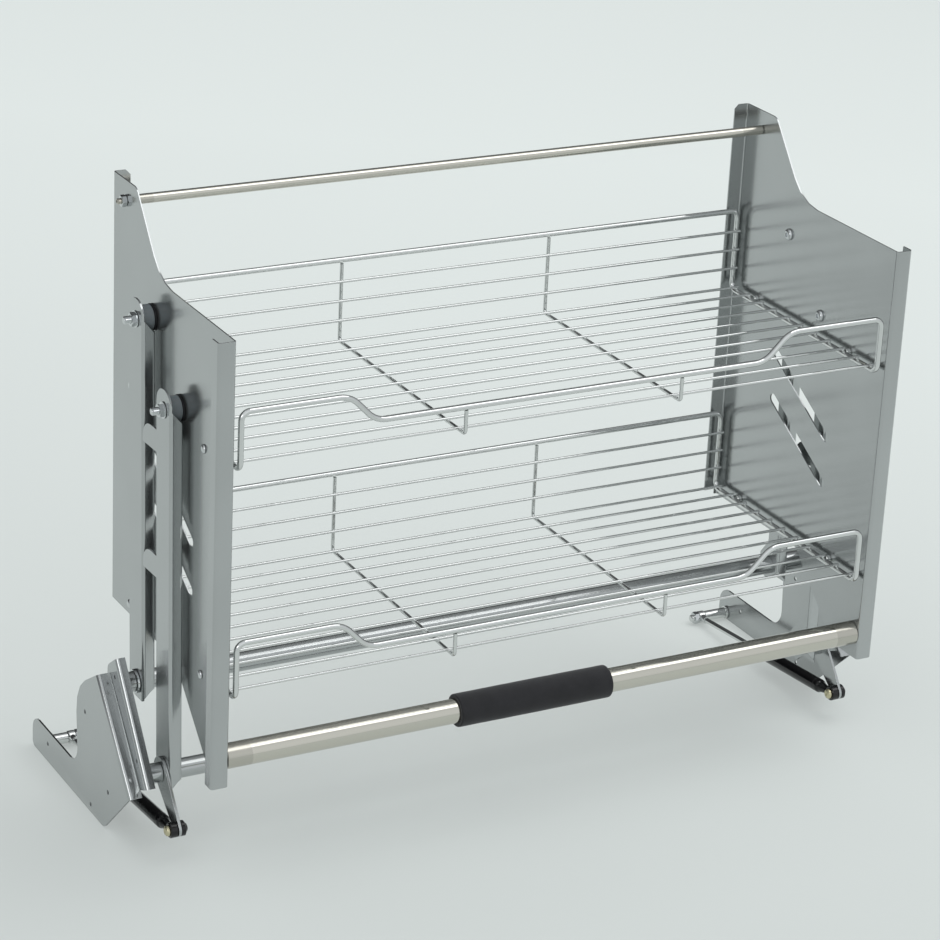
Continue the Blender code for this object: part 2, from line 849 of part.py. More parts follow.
def build_pivot_plate(name, side, front_hub_end):
    """Bends one pivot plate and welds its two hubs and their stubs on."""
    top, _, down, back = bracket_axes()
    upper, lower, way, across = pivot_plate_axes()
    middle = plate_pivot_out_x - pivot_plate_sheet / 2
    reach = pivot_plate_back_reach + pivot_plate_top_reach
    corners = (
        ((reach * 2, middle), 0),
        ((0, middle), bracket_bend_radius),
        ((0, middle - pivot_plate_leg), 0),
    )
    section = sheet_section(corners, pivot_plate_sheet)
    run = (lower - upper).length
    start = upper - way * reach
    outline = [start + across * u + Vector((side * x, 0, 0)) for u, x in section]
    bm = bmesh.new()
    add_extrusion(bm, outline, way * (run + reach * 2))
    mesh = to_mesh(bm, name)
    ahead = -across * cut_overrun
    ear = upper + across * pivot_plate_ear_width
    corners = (
        (upper + ahead, 0),
        (ear, pivot_plate_ear_radius),
        (ear + way * pivot_plate_ear_height, pivot_plate_ear_root_radius),
        (rear_low + across * hub_radius - way * hub_radius * 6 / 5, pivot_plate_radius),
        (rear_low + across * hub_radius * 3 / 2, pivot_plate_radius),
        (front_low + across * hub_radius * 3 / 2 + way * hub_radius, pivot_plate_radius),
        (lower + ahead, 0),
    )
    trim = bmesh.new()
    outline = fillet([((p.y, p.z), radius) for p, radius in corners])
    inside = middle - pivot_plate_leg - cut_overrun
    add_plate(trim, outline, side * inside, side * (plate_pivot_out_x + cut_overrun))
    mesh = combined(mesh, trim, "INTERSECT")
    hubs = bmesh.new()
    rear_hub_end = arm_out_x + tube_reach + run_gap
    stub_radius = tube_radius - tube_wall - run_gap
    for place, end in ((rear_low, rear_hub_end), (front_low, front_hub_end)):
        profile = (
            (side * (plate_pivot_in_x + pivot_plate_sheet / 2), hub_radius),
            (side * end, hub_radius),
            (side * end, stub_radius),
            (side * (end - stub_length), stub_radius),
        )
        add_turned(hubs, place, profile, round_sides)
    mesh = combined(mesh, hubs, "UNION")
    cut = bmesh.new()
    for distance in (pivot_plate_hole_lower, pivot_plate_hole_lower + pivot_plate_hole_spacing):
        place = top + down * distance - back * pivot_plate_hole_reach
        x_start = side * (plate_pivot_in_x - cut_overrun)
        x_end = side * (plate_pivot_out_x + cut_overrun)
        add_cross_rod(cut, place, x_start, x_end, pivot_plate_hole_radius, small_sides)
    return combined(mesh, cut, "DIFFERENCE")


def build_lever(name, plate_start, plate_end, sleeve_start):
    """Cuts one crank lever, with its sleeve where it stands off from the arm."""
    bm = bmesh.new()
    outline = slot_outline(front_low, lever_tip, lever_top_radius, lever_tip_radius)
    add_plate(bm, outline, plate_start, plate_end)
    mesh = to_mesh(bm, name)
    if sleeve_start is not None:
        sleeve = bmesh.new()
        bite = math.copysign(lever_sheet / 2, plate_end - plate_start)
        add_cross_rod(sleeve, front_low, sleeve_start, plate_start + bite, sleeve_radius, round_sides)
        mesh = combined(mesh, sleeve, "UNION")
    cut = bmesh.new()
    first = sleeve_start if sleeve_start is not None else plate_start
    reach = math.copysign(cut_overrun, plate_end - plate_start)
    add_cross_rod(cut, front_low, first - reach, plate_end + reach, tube_bore_radius, round_sides)
    add_cross_rod(cut, lever_tip, plate_start - reach, plate_end + reach, bore_radius, small_sides)
    return combined(mesh, cut, "DIFFERENCE")


def spring_way():
    """Gives the direction from the stud to the lever's tip, and the distance."""
    way = lever_tip - stud_place
    return way.normalized(), way.length


def spring_neck_length():
    """Gives the neck that keeps the cylinder clear of the lever's edge."""
    lever_way = front_low - lever_tip
    lean = math.asin((lever_top_radius - lever_tip_radius) / lever_way.length)
    opening = lever_way.angle(stud_place - lever_tip) - lean
    edge = lever_tip_radius + spring_cylinder_radius * math.cos(opening) + seat_gap
    return edge / math.sin(opening)


def build_spring_cylinder(name, low_x, high_x):
    """Makes a gas spring's cylinder with its eye, its neck and its long bore."""
    way, distance = spring_way()
    middle = (low_x + high_x) / 2
    eye = at_x(lever_tip, middle)
    bm = bmesh.new()
    add_cross_rod(bm, lever_tip, low_x, high_x, spring_eye_radius, round_sides)
    mesh = to_mesh(bm, name)
    body_start = eye - way * spring_neck_length()
    neck = bmesh.new()
    neck_start = eye - way * (pin_radius + seat_gap * 2)
    add_rod(neck, neck_start, body_start - way * cut_overrun, spring_neck_radius, small_sides)
    mesh = combined(mesh, neck, "UNION")
    body = bmesh.new()
    gland_start = eye - way * (spring_cylinder_length - spring_gland_length)
    add_rod(body, body_start, gland_start, spring_cylinder_radius, round_sides)
    mesh = combined(mesh, body, "UNION")
    gland = bmesh.new()
    gland_end = eye - way * spring_cylinder_length
    add_rod(gland, gland_start + way * spring_gland_length, gland_end, spring_gland_radius, round_sides)
    mesh = combined(mesh, gland, "UNION")
    cut = bmesh.new()
    bore_end = gland_end - way * cut_overrun
    add_rod(cut, eye - way * spring_bore_stop, bore_end, spring_rod_radius + run_gap, small_sides)
    reach = math.copysign(cut_overrun, high_x - low_x)
    add_cross_rod(cut, lever_tip, low_x - reach, high_x + reach, bore_radius, small_sides)
    return combined(mesh, cut, "DIFFERENCE")


def build_spring_rod(name, low_x, high_x):
    """Makes a gas spring's rod with its eye on the bracket's stud."""
    way, distance = spring_way()
    middle = (low_x + high_x) / 2
    eye = at_x(stud_place, middle)
    bm = bmesh.new()
    add_cross_rod(bm, stud_place, low_x, high_x, rod_eye_radius, round_sides)
    mesh = to_mesh(bm, name)
    rod = bmesh.new()
    rod_length = distance - spring_cylinder_length + spring_rod_tail
    add_rod(rod, eye + way * (pin_radius + run_gap), eye + way * rod_length, spring_rod_radius, small_sides)
    mesh = combined(mesh, rod, "UNION")
    cut = bmesh.new()
    reach = math.copysign(cut_overrun, high_x - low_x)
    add_cross_rod(cut, stud_place, low_x - reach, high_x + reach, bore_radius, small_sides)
    return combined(mesh, cut, "DIFFERENCE")


def build_stud(name, side):
    """Makes the stud that holds the gas spring's rod eye off the bracket."""
    profile = (
        (side * (plate_in_x - seat_gap), stud_foot_radius),
        (side * (plate_in_x - seat_gap - stud_foot_height), stud_foot_radius),
        (side * (plate_in_x - seat_gap - stud_foot_height), stud_radius),
        (side * (spring_out_x + run_gap), stud_radius),
        (side * (spring_out_x + run_gap), pin_radius),
        (side * (spring_in_x - stud_tail), pin_radius),
    )
    bm = bmesh.new()
    add_turned(bm, stud_place, profile, small_sides)
    return to_mesh(bm, name)


def build_bolt(name, side, place):
    """Makes a pivot bolt: head inside the panel, shank through bushing and arm."""
    start = panel_in_x - seat_gap
    end = arm_out_x + seat_gap + nut_height + bolt_tail
    bm = bmesh.new()
    profile = (
        (side * (start - bolt_head_height), bolt_head_radius * 3 / 4),
        (side * (start - bolt_head_height / 2), bolt_head_radius),
        (side * start, bolt_head_radius),
        (side * start, bolt_radius),
        (side * end, bolt_radius),
    )
    add_turned(bm, place, profile, small_sides)
    return to_mesh(bm, name)


def build_top_rod(name):
    """Makes the top rod with a thread turned on each end."""
    end = panel_in_x - seat_gap
    tail = panel_out_x + seat_gap + rod_nut_height + rod_thread_tail
    profile = (
        (-tail, rod_thread_radius),
        (-end, rod_thread_radius),
        (-end, top_rod_radius),
        (end, top_rod_radius),
        (end, rod_thread_radius),
        (tail, rod_thread_radius),
    )
    bm = bmesh.new()
    add_turned(bm, top_rod_place(), profile, small_sides)
    return to_mesh(bm, name)


def build_handle():
    """Makes the handle tube, open at both ends."""
    end = panel_in_x - seat_gap
    return ring_mesh(handle_place(), -end, end, handle_radius, handle_radius - handle_wall, round_sides)


def build_plug(name, side):
    """Makes a handle fixing: a plug in the tube and its screw through the panel."""
    start = panel_in_x - seat_gap
    out = panel_out_x + seat_gap
    profile = (
        (side * (start - plug_length), handle_radius - handle_wall - seat_gap),
        (side * start, handle_radius - handle_wall - seat_gap),
        (side * start, rod_thread_radius),
        (side * out, rod_thread_radius),
        (side * out, plug_head_radius),
        (side * (out + plug_head_height), plug_head_radius * 2 / 3),
    )
    bm = bmesh.new()
    add_turned(bm, handle_place(), profile, small_sides)
    return to_mesh(bm, name)


def build_grip(name):
    """Makes the foam sleeve on the handle, with rounded edges."""
    profile = (
        (grip_left_x, grip_radius - grip_edge),
        (grip_left_x + grip_edge / 3, grip_radius - grip_edge / 3),
        (grip_left_x + grip_edge, grip_radius),
        (grip_right_x - grip_edge, grip_radius),
        (grip_right_x - grip_edge / 3, grip_radius - grip_edge / 3),
        (grip_right_x, grip_radius - grip_edge),
    )
    bm = bmesh.new()
    add_turned(bm, handle_place(), profile, round_sides)
    mesh = to_mesh(bm, name)
    cut = bmesh.new()
    x_start = grip_left_x - cut_overrun
    x_end = grip_right_x + cut_overrun
    add_cross_rod(cut, handle_place(), x_start, x_end, handle_radius + seat_gap, round_sides)
    return combined(mesh, cut, "DIFFERENCE")


def rim_path(floor_z):
    """Gives the rim's closed path: high behind, down the ends, dipped in front."""
    back = basket_back_y
    front = basket_front_y
    raised = floor_z + basket_front_height
    low = floor_z + basket_low_height
    half = (
        ((0, back, floor_z + basket_back_height), 0),
        ((basket_end_x, back, floor_z + basket_back_height), basket_corner_radius),
        ((basket_end_x, back, floor_z), basket_corner_radius),
        ((basket_end_x, front, floor_z), basket_corner_radius),
        ((basket_end_x, front, raised), basket_corner_radius),
        ((basket_end_x - basket_dip_start_run, front, raised), basket_dip_radius),
        ((basket_end_x - basket_dip_end_run, front, low), basket_dip_radius),
        ((0, front, low), 0),
    )
    right = open_fillet(half, wire_step_share)
    left = [Vector((-p.x, p.y, p.z)) for p in right[1:-1]]
    return right + left[::-1]


def build_rim(name, floor_z):
    """Bends a basket's rim wire and welds the four screw lugs to it."""
    bm = bmesh.new()
    add_wire(bm, rim_path(floor_z), basket_rail_radius, rail_sides, True)
    mesh = to_mesh(bm, name)
    lugs = bmesh.new()
    cut = bmesh.new()
    for _, side in sides:
        for _, place in lug_places(floor_z):
            start = side * (basket_end_x + basket_wire_tail + run_gap)
            end = side * (panel_in_x - seat_gap)
            add_cross_rod(lugs, place, start, end, lug_radius, small_sides)
            depth = end - side * lug_bore_depth
            add_cross_rod(cut, place, depth, end + side * cut_overrun, screw_radius + run_gap, small_sides)
    mesh = combined(mesh, lugs, "UNION")
    return combined(mesh, cut, "DIFFERENCE")


def build_wires(name, floor_z):
    """Lays a basket's thin wires on its two bent supports."""
    lift = basket_rail_radius + basket_wire_radius + seat_gap
    end = basket_end_x + basket_wire_tail
    wires = bmesh.new()
    for index in range(floor_wire_count):
        place = Vector((0, basket_back_y - floor_wire_start - floor_wire_pitch * index, floor_z + lift))
        add_cross_rod(wires, place, -end, end, basket_wire_radius, wire_sides)
    for index in range(wall_wire_count):
        place = Vector((0, basket_back_y - lift, floor_z + wall_wire_start + wall_wire_pitch * index))
        add_cross_rod(wires, place, -end, end, basket_wire_radius, wire_sides)
    mesh = to_mesh(wires, name)
    drop = lift - basket_wire_radius - basket_support_radius + weld_bite
    clear = basket_rail_radius + seat_gap
    supports = bmesh.new()
    for _, side in sides:
        x = side * basket_end_x * basket_support_share
        corners = (
            ((x, basket_back_y - drop, floor_z + basket_back_height - clear), 0),
            ((x, basket_back_y - drop, floor_z + drop), basket_corner_radius / 2),
            ((x, basket_front_y, floor_z + drop), basket_corner_radius / 2),
            ((x, basket_front_y, floor_z + basket_low_height - clear), 0),
        )
        add_wire(supports, open_fillet(corners, wire_step_share), basket_support_radius, rail_sides, False)
    return combined(mesh, supports, "UNION")


def build_screw(name, side, place):
    """Makes a basket screw: a domed head outside the panel, its shank in the lug."""
    out = panel_out_x + seat_gap
    profile = (
        (side * (panel_in_x - lug_bore_depth + seat_gap), screw_radius),
        (side * out, screw_radius),
        (side * out, screw_head_radius),
        (side * (out + screw_head_height / 2), screw_head_radius * 7 / 8),
        (side * (out + screw_head_height), screw_head_radius / 2),
    )
    bm = bmesh.new()
    add_turned(bm, place, profile, small_sides)
    return to_mesh(bm, name)


def make_pin(low_x):
    """Makes the spring's pin: a domed head and a shank through the eye."""
    head_x = low_x - run_gap
    profile = (
        (head_x - pin_head_height, pin_head_radius * 3 / 4),
        (head_x - pin_head_height / 2, pin_head_radius),
        (head_x, pin_head_radius),
        (head_x, pin_radius),
        (low_x + spring_eye_width, pin_radius),
    )
    bm = bmesh.new()
    add_turned(bm, lever_tip, profile, small_sides)
    return to_mesh(bm, "pin")


def make_cap(cap_start):
    """Makes the cap that closes the pin behind the lever."""
    cap_end = cap_start + cap_height
    profile = (
        (cap_start - lever_sheet, pin_radius),
        (cap_start, pin_radius),
        (cap_start, cap_radius),
        (cap_end, cap_radius),
        (cap_end, cap_crown_radius),
        (cap_end + cap_crown_height, cap_crown_radius),
    )
    bm = bmesh.new()
    add_turned(bm, lever_tip, profile, small_sides)
    return to_mesh(bm, "cap")


def make_bracket_group(label, side, hub_end, paint, chrome, zinc):
    """Makes what is fixed to the cabinet on one side."""
    here = (0, 0, 0)
    place_piece(f"bracket_{label}", build_bracket("bracket", side), paint, here)
    plate = build_pivot_plate("pivot_plate", side, hub_end)
    place_piece(f"pivot_plate_{label}", plate, paint, here)
    place_piece(f"spring_stud_{label}", build_stud("stud", side), chrome, stud_place)
    start = side * (spring_in_x - run_gap)
    nut = nut_mesh(stud_place, start, start - side * nut_height, nut_radius, bore_radius)
    place_piece(f"spring_nut_{label}", nut, zinc, stud_place)


def make_arm_group(label, side, paint, zinc):
    """Makes both arms of one side, the crank lever and the washer."""
    place_piece(f"front_arm_{label}", build_arm("arm", side, front_low, True), paint, front_low)
    place_piece(f"rear_arm_{label}", build_arm("arm", side, rear_low, False), paint, rear_low)
    if label == "left":
        lever = build_lever("lever", -lever_left_x, -lever_left_x - lever_sheet, None)
    else:
        lever = build_lever("lever", lever_right_x, lever_right_x + lever_sheet, lever_left_x)
    place_piece(f"crank_lever_{label}", lever, paint, front_low)
    start = side * (arm_out_x + seat_gap)
    end = side * (arm_out_x + tube_reach - run_gap)
    washer = ring_mesh(rear_low, start, end, washer_radius, tube_bore_radius, round_sides)
    place_piece(f"pivot_washer_{label}", washer, zinc, rear_low)


def make_spring_group(label, side, chrome, black, brass):
    """Makes one gas spring with its pin and cap."""
    low_x, high_x = sorted((side * spring_in_x, side * spring_out_x))
    cylinder = build_spring_cylinder("cylinder", low_x, high_x)
    place_piece(f"gas_cylinder_{label}", cylinder, black, lever_tip)
    place_piece(f"gas_rod_{label}", build_spring_rod("rod", low_x, high_x), chrome, stud_place)
    place_piece(f"spring_pin_{label}", make_pin(low_x), brass, lever_tip)
    if label == "left":
        cap_start = seat_gap - lever_left_x
    else:
        cap_start = lever_right_x + lever_sheet + seat_gap
    place_piece(f"spring_cap_{label}", make_cap(cap_start), black, lever_tip)


def make_panel_group(label, side, paint, zinc, nylon):
    """Makes one side panel with its pivots, nuts and screws."""
    place_piece(f"side_panel_{label}", build_panel("panel", side), paint, front_high)
    seat_x = side * (panel_out_x + seat_gap)
    for row, high in (("rear", rear_high), ("front", front_high)):
        end = side * (arm_out_x - arm_sheet - seat_gap)
        bush = ring_mesh(high, seat_x, end, bushing_radius, bolt_bore_radius, round_sides, small_sides)
        place_piece(f"bushing_{row}_{label}", bush, nylon, high)
        place_piece(f"pivot_bolt_{row}_{label}", build_bolt("bolt", side, high), zinc, high)
        start = side * (arm_out_x + seat_gap)
        nut = nut_mesh(high, start, start + side * nut_height, nut_radius, bolt_bore_radius)
        place_piece(f"pivot_nut_{row}_{label}", nut, zinc, high)
    bore = rod_thread_radius + run_gap
    nut = nut_mesh(top_rod_place(), seat_x, seat_x + side * rod_nut_height, rod_nut_radius, bore)
    place_piece(f"rod_nut_{label}", nut, zinc, top_rod_place())
    place_piece(f"handle_plug_{label}", build_plug("plug", side), zinc, handle_place())
    for basket, floor_z in basket_floors():
        for row, place in lug_places(floor_z):
            screw = build_screw("screw", side, place)
            place_piece(f"basket_screw_{basket}_{row}_{label}", screw, zinc, place)


def main():
    """Clears the scene and makes every piece of the rack."""
    for item in list(bpy.data.objects):
        bpy.data.objects.remove(item)
    paint = make_material("silver_paint", (0.42, 0.45, 0.44), 0.35, 0.42)
    chrome = make_material("chrome_plate", (0.78, 0.79, 0.8), 1, 0.12)
    steel = make_material("brushed_steel", (0.68, 0.67, 0.63), 1, 0.26)
    zinc = make_material("zinc_plate", (0.6, 0.62, 0.64), 1, 0.3)
    black = make_material("black_enamel", (0.012, 0.012, 0.014), 0, 0.3)
    brass = make_material("brass", (0.62, 0.52, 0.28), 1, 0.34)
    foam = make_material("black_foam", (0.02, 0.02, 0.02), 0, 0.9)
    nylon = make_material("grey_nylon", (0.36, 0.39, 0.4), 0, 0.45)

    left_end = lever_left_x + lever_sheet + seat_gap
    right_end = lever_right_x + lever_sheet + seat_gap
    rear_end = arm_out_x + tube_reach
    hub_ends = {"left": left_end + run_gap, "right": right_end + run_gap}
    for label, side in sides:
        make_bracket_group(label, side, hub_ends[label], paint, chrome, zinc)
        make_arm_group(label, side, paint, zinc)
        make_spring_group(label, side, chrome, black, brass)
        make_panel_group(label, side, paint, zinc, nylon)

    rear_tube = build_cross_tube("tube", rear_low, rear_end, rear_end)
    place_piece("rear_cross_tube", rear_tube, paint, rear_low)
    front_tube = build_cross_tube("tube", front_low, left_end, right_end)
    place_piece("front_cross_tube", front_tube, paint, front_low)
    place_piece("top_rod", build_top_rod("rod"), steel, top_rod_place())
    place_piece("handle_tube", build_handle(), steel, handle_place())
    place_piece("handle_grip", build_grip("grip"), foam, handle_place())
    for basket, floor_z in basket_floors():
        corner = (0, basket_back_y, floor_z)
        place_piece(f"basket_rim_{basket}", build_rim("rim", floor_z), chrome, corner)
        place_piece(f"basket_wires_{basket}", build_wires("wires", floor_z), chrome, corner)


main()
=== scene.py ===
"""Pull-down dish rack, dressed: paint, plating, wire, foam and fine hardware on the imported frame.

X runs across the cabinet, -Y points out of it, +Z is up, in metres. The places
of round pieces come from the frame's own boxes; each operator makes one piece
or one group of like pieces. A turned piece's profile is a list of pairs in
millimetres: the distance along the axis and the radius there.
"""
import math
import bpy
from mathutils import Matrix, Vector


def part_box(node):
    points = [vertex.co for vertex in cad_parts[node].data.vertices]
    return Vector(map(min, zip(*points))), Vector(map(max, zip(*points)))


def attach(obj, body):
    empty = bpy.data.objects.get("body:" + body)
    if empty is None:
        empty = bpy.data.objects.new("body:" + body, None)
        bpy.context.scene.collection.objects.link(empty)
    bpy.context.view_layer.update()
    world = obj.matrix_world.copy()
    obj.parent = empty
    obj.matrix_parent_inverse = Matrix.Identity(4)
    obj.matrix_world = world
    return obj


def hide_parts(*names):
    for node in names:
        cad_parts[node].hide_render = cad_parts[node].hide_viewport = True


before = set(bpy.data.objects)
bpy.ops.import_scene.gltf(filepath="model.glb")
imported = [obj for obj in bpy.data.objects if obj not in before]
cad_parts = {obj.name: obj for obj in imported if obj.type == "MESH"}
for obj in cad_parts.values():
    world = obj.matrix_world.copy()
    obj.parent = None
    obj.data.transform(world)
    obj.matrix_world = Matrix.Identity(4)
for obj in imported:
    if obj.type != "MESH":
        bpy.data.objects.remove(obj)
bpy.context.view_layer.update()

from types import SimpleNamespace

import bmesh
import bpy
from bpy.props import FloatProperty, FloatVectorProperty, IntProperty, PointerProperty
from bpy.types import Operator, Panel, PropertyGroup
from mathutils import Matrix, Vector

bl_info = {
    "name": "Pull-down dish rack",
    "version": (1, 0, 0),
    "blender": (4, 5, 0),
    "location": "3D View > Sidebar > Dish rack",
    "description": "Makes the painted sheets, baskets, springs and hardware of a pull-down dish rack",
    "category": "Add Mesh",
}

MM = 0.001
ORIGIN = Vector((0, 0, 0))
ACROSS = Vector((1, 0, 0))
SIDES = {"left": -1, "right": 1}
ROWS = ("front", "rear")
BASKETS = ("lower", "upper")


def linear(code):
    """Turns an sRGB hex code into linear red, green and blue."""
    values = [int(code[index:index + 2], 16) / 255 for index in (0, 2, 4)]
    return tuple(v / 12.92 if v <= 0.04045 else ((v + 0.055) / 1.055) ** 2.4 for v in values)


def colour(name, code, description):
    """Declares a colour that a user may change."""
    return FloatVectorProperty(
        name=name, description=description, subtype="COLOR", size=3, min=0, max=1, default=linear(code))


def length(name, value, description):
    """Declares a length that a user may change, given in millimetres."""
    return FloatProperty(name=name, description=description, unit="LENGTH", default=value * MM, min=0)


def power(name, value, description):
    """Declares a lamp's power that a user may change."""
    return FloatProperty(name=name, description=description, unit="POWER", default=value, min=0)


def in_mm(group):
    """Gives a group's lengths in millimetres."""
    return SimpleNamespace(**{key: getattr(group, key) / MM for key in group.__annotations__})


# Places read from the frame
def middle(node):
    """Gives the centre of a node's box."""
    low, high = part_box(node)
    return (low + high) / 2


def ends(node, side=1):
    """Gives the x of a node's two ends: the inner and the outer one, on the side given."""
    low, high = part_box(node)
    return (low.x, high.x) if side > 0 else (high.x, low.x)


def width(node):
    """Gives a node's size along X in millimetres."""
    low, high = ends(node)
    return (high - low) / MM


def crossed(place, x=0):
    """Gives the point at the Y and Z of a place and at a distance x."""
    return Vector((x, place.y, place.z))


def start_of(node, place, side=1):
    """Gives the point where a node starts, on the axis through a place."""
    return crossed(place, ends(node, side)[0])


SPRING_TIP = crossed(middle("spring_pin_left"))
SPRING_FOOT = crossed(middle("spring_stud_left"))
SPRING_SPAN = SPRING_TIP - SPRING_FOOT
PANEL = ends("handle_tube")[1]  # The handle tube ends at the panels' inner faces.


class RackFinish(PropertyGroup):
    """Colours of the rack's surfaces and of the studio."""

    paint: colour("Sheet paint", "B8BBBB", "Silver-grey enamel on the bent sheets and cross tubes")
    chrome: colour("Chrome plate", "DADCDB", "Nickel-chrome plate on the basket wires and spring rods")
    steel: colour("Stainless steel", "CDCAC0", "Polished stainless tube and rod, slightly warm")
    zinc: colour("Zinc plate", "D2D5D6", "Bright zinc on nuts, bolts and screws")
    brass: colour("Yellow zinc", "CFC8A8", "Yellow passivated heads of the spring pins")
    enamel: colour("Black enamel", "050507", "Baked enamel on the spring cylinders")
    foam: colour("Grip foam", "1D1D20", "Closed-cell rubber foam of the grip")
    nylon: colour("Bushing nylon", "6E7578", "Grey nylon of the pivot bushings")
    rubber: colour("Washer rubber", "17171A", "Black rubber of the small sealing rings")
    floor: colour("Studio floor", "D9DFDD", "Pale paper under and behind the rack")


class RackSheet(PropertyGroup):
    """Sizes of the finish on the bent sheets."""

    edge: length("Edge radius", 0.35, "Radius of the broken edge all round a cut sheet")
    edge_steps: IntProperty(name="Edge steps", description="Facets across a broken edge", default=2, min=1, max=4)


class RackBasket(PropertyGroup):
    """Sizes of the two wire baskets."""

    rail: length("Rail radius", 3, "Radius of the rim's thick wire")
    wire: length("Wire radius", 1.5, "Radius of the thin wires across the rack")
    support: length("Support radius", 2, "Radius of the bent wires under the floor")
    end_x: length("Rim reach", 360, "Distance from the middle to the rim's ends")
    back_y: length("Back", 105, "Distance of the rim's back behind the origin")
    depth: length("Depth", 280, "Distance between the rim's back and front")
    back_height: length("Back height", 90, "Height of the rim behind over its floor rails")
    front_height: length("Front height", 58.5, "Height of the rim's front ends over its floor rails")
    low_height: length("Dip height", 30, "Height of the rim's dipped front over its floor rails")
    corner: length("Corner radius", 9, "Bend radius of the rim's corners")
    dip: length("Dip radius", 28, "Bend radius of the rim's dip")
    dip_start: length("Dip start", 247.5, "Distance from the middle to the upper bend of the dip")
    dip_end: length("Dip end", 219.5, "Distance from the middle to the lower bend of the dip")
    floor_low: length("Lower floor", 202.5, "Height of the lower basket's floor rails")
    floor_high: length("Upper floor", 440, "Height of the upper basket's floor rails")
    floor_wires: IntProperty(name="Floor wires", description="Thin wires in the floor", default=11, min=2)
    floor_start: length("First floor wire", 10, "Distance from the rim's back to the first floor wire")
    floor_pitch: length("Floor pitch", 26, "Distance between floor wires")
    wall_wires: IntProperty(name="Back wires", description="Thin wires in the back wall", default=3, min=1)
    wall_start: length("First back wire", 25.5, "Height of the first wire in the back wall")
    wall_pitch: length("Back pitch", 21.2, "Distance between the wires in the back wall")
    tail: length("Wire tail", 2, "How far a thin wire runs past the rim's rail")
    support_x: length("Support place", 122.04, "Distance from the middle to a bent support")
    weld: length("Weld radius", 1.7, "Radius of a resistance weld where two wires cross")
    gap: length("Wire gap", 0.3, "Gap that a weld bridges between two wires")


class RackHardware(PropertyGroup):
    """Sizes of nuts, bolts, screws and springs."""

    bolt: length("Bolt radius", 4, "Radius of the pivot bolts' shank")
    bolt_head: length("Bolt head radius", 6.4, "Radius of the pivot bolts' button head")
    nut: length("Nut radius", 7.2, "Distance from the middle to a corner of a nut")
    flange: length("Nut flange radius", 8.4, "Radius of the flange under a pivot nut")
    pitch: length("Thread pitch", 1.25, "Distance between two crests of a thread")
    crest: length("Thread depth", 0.5, "Height of a thread's crest over its root")
    screw_head: length("Screw head radius", 4.6, "Radius of the basket screws' pan head")
    screw_rise: length("Screw head height", 2.5, "Height of the basket screws' pan head")
    bushing: length("Bushing radius", 13, "Radius of the pivots' nylon bushings")
    cylinder: length("Spring cylinder radius", 7.5, "Radius of a gas spring's cylinder")
    gas_rod: length("Spring rod radius", 3, "Radius of a gas spring's rod")
    eye: length("Spring eye radius", 8, "Radius of a gas spring's upper eye; the lower one is 1 mm less")
    eye_bore: length("Spring eye bore", 4.3, "Radius of the bore in a gas spring's eyes")


class RackTubes(PropertyGroup):
    """Sizes of the tubes, the rod and the grip."""

    cross: length("Cross tube radius", 10, "Radius of the two painted cross tubes")
    wall: length("Tube wall", 1.5, "Wall of the tubes")
    washer: length("Clip washer radius", 12.5, "Radius of the clip washers on the rear cross tube")
    handle: length("Handle radius", 12.7, "Radius of the handle tube")
    band: length("Handle end band", 26, "Length of the duller band at the handle's ends")
    grip: length("Grip radius", 17, "Radius of the foam grip")
    grip_edge: length("Grip edge", 1.5, "Radius of the foam grip's cut ends")
    rod: length("Rod radius", 5, "Radius of the top rod")
    neck: length("Rod neck radius", 3, "Radius of the threads at the top rod's ends")


class RackStudio(PropertyGroup):
    """Strengths of the studio's light."""

    room: FloatProperty(name="Room light", description="Strength of the even light of the room", default=0.4, min=0)
    key: power("Key light", 18, "Power of the wide softbox overhead")
    side: power("Side light", 6, "Power of the small softbox at the left")
    top: power("Ceiling light", 150, "Power of the broad dull ceiling light")


def add(tree, kind, links=None, feeds=None, **settings):
    """Adds a node; links gives its inputs a value, a socket or a node's first output, feeds sends outputs on."""
    node = tree.nodes.new(kind)
    for name, value in settings.items():
        setattr(node, name, value)
    for name, value in (links or {}).items():
        if isinstance(value, bpy.types.Node):
            value = value.outputs[0]
        if isinstance(value, bpy.types.NodeSocket):
            tree.links.new(value, node.inputs[name])
        else:
            node.inputs[name].default_value = value
    for name, target in (feeds or {}).items():
        tree.links.new(node.outputs[name], target)
    return node


# Surfaces
def surface(name, base, values):
    """Starts a material; what is even all over is set on the shader's own sockets."""
    material = bpy.data.materials.new(name)
    material.use_nodes = True
    tree = material.node_tree
    tree.nodes.clear()
    shader = add(tree, "ShaderNodeBsdfPrincipled", {"Base Color": (*base, 1), **values})
    add(tree, "ShaderNodeOutputMaterial", {"Surface": shader.outputs["BSDF"]})
    return material, tree, shader.inputs, add(tree, "ShaderNodeTexCoord").outputs["Object"]


def shaded(base, factor):
    """Gives a colour made lighter or darker by a factor."""
    return (*(min(1, value * factor) for value in base), 1)


def toned(tree, sockets, share, base, dark, pale):
    """Lets a base colour drift between a darker and a paler shade, by a share from 0 to 1."""
    add(tree, "ShaderNodeMix", {0: share, 6: shaded(base, dark), 7: shaded(base, pale)},
        {2: sockets["Base Color"]}, data_type="RGBA")


def patchy(name, base, values, size, detail=2, tones=None, gloss=None, full=0.7):
    """Makes a material with patches of a real size in mm, which change its tone, its roughness or both."""
    material, tree, sockets, place = surface(name, base, values)
    patch = add(tree, "ShaderNodeTexNoise", {"Vector": place, "Scale": 1 / (size * MM), "Detail": detail})
    if tones:
        toned(tree, sockets, patch, base, *tones)
    if gloss:
        add(tree, "ShaderNodeMapRange", {
            "Value": patch, "From Min": 0.3, "From Max": full, "To Min": gloss[0], "To Max": gloss[1]
        }, {0: sockets["Roughness"]})
    return material, tree, sockets, patch


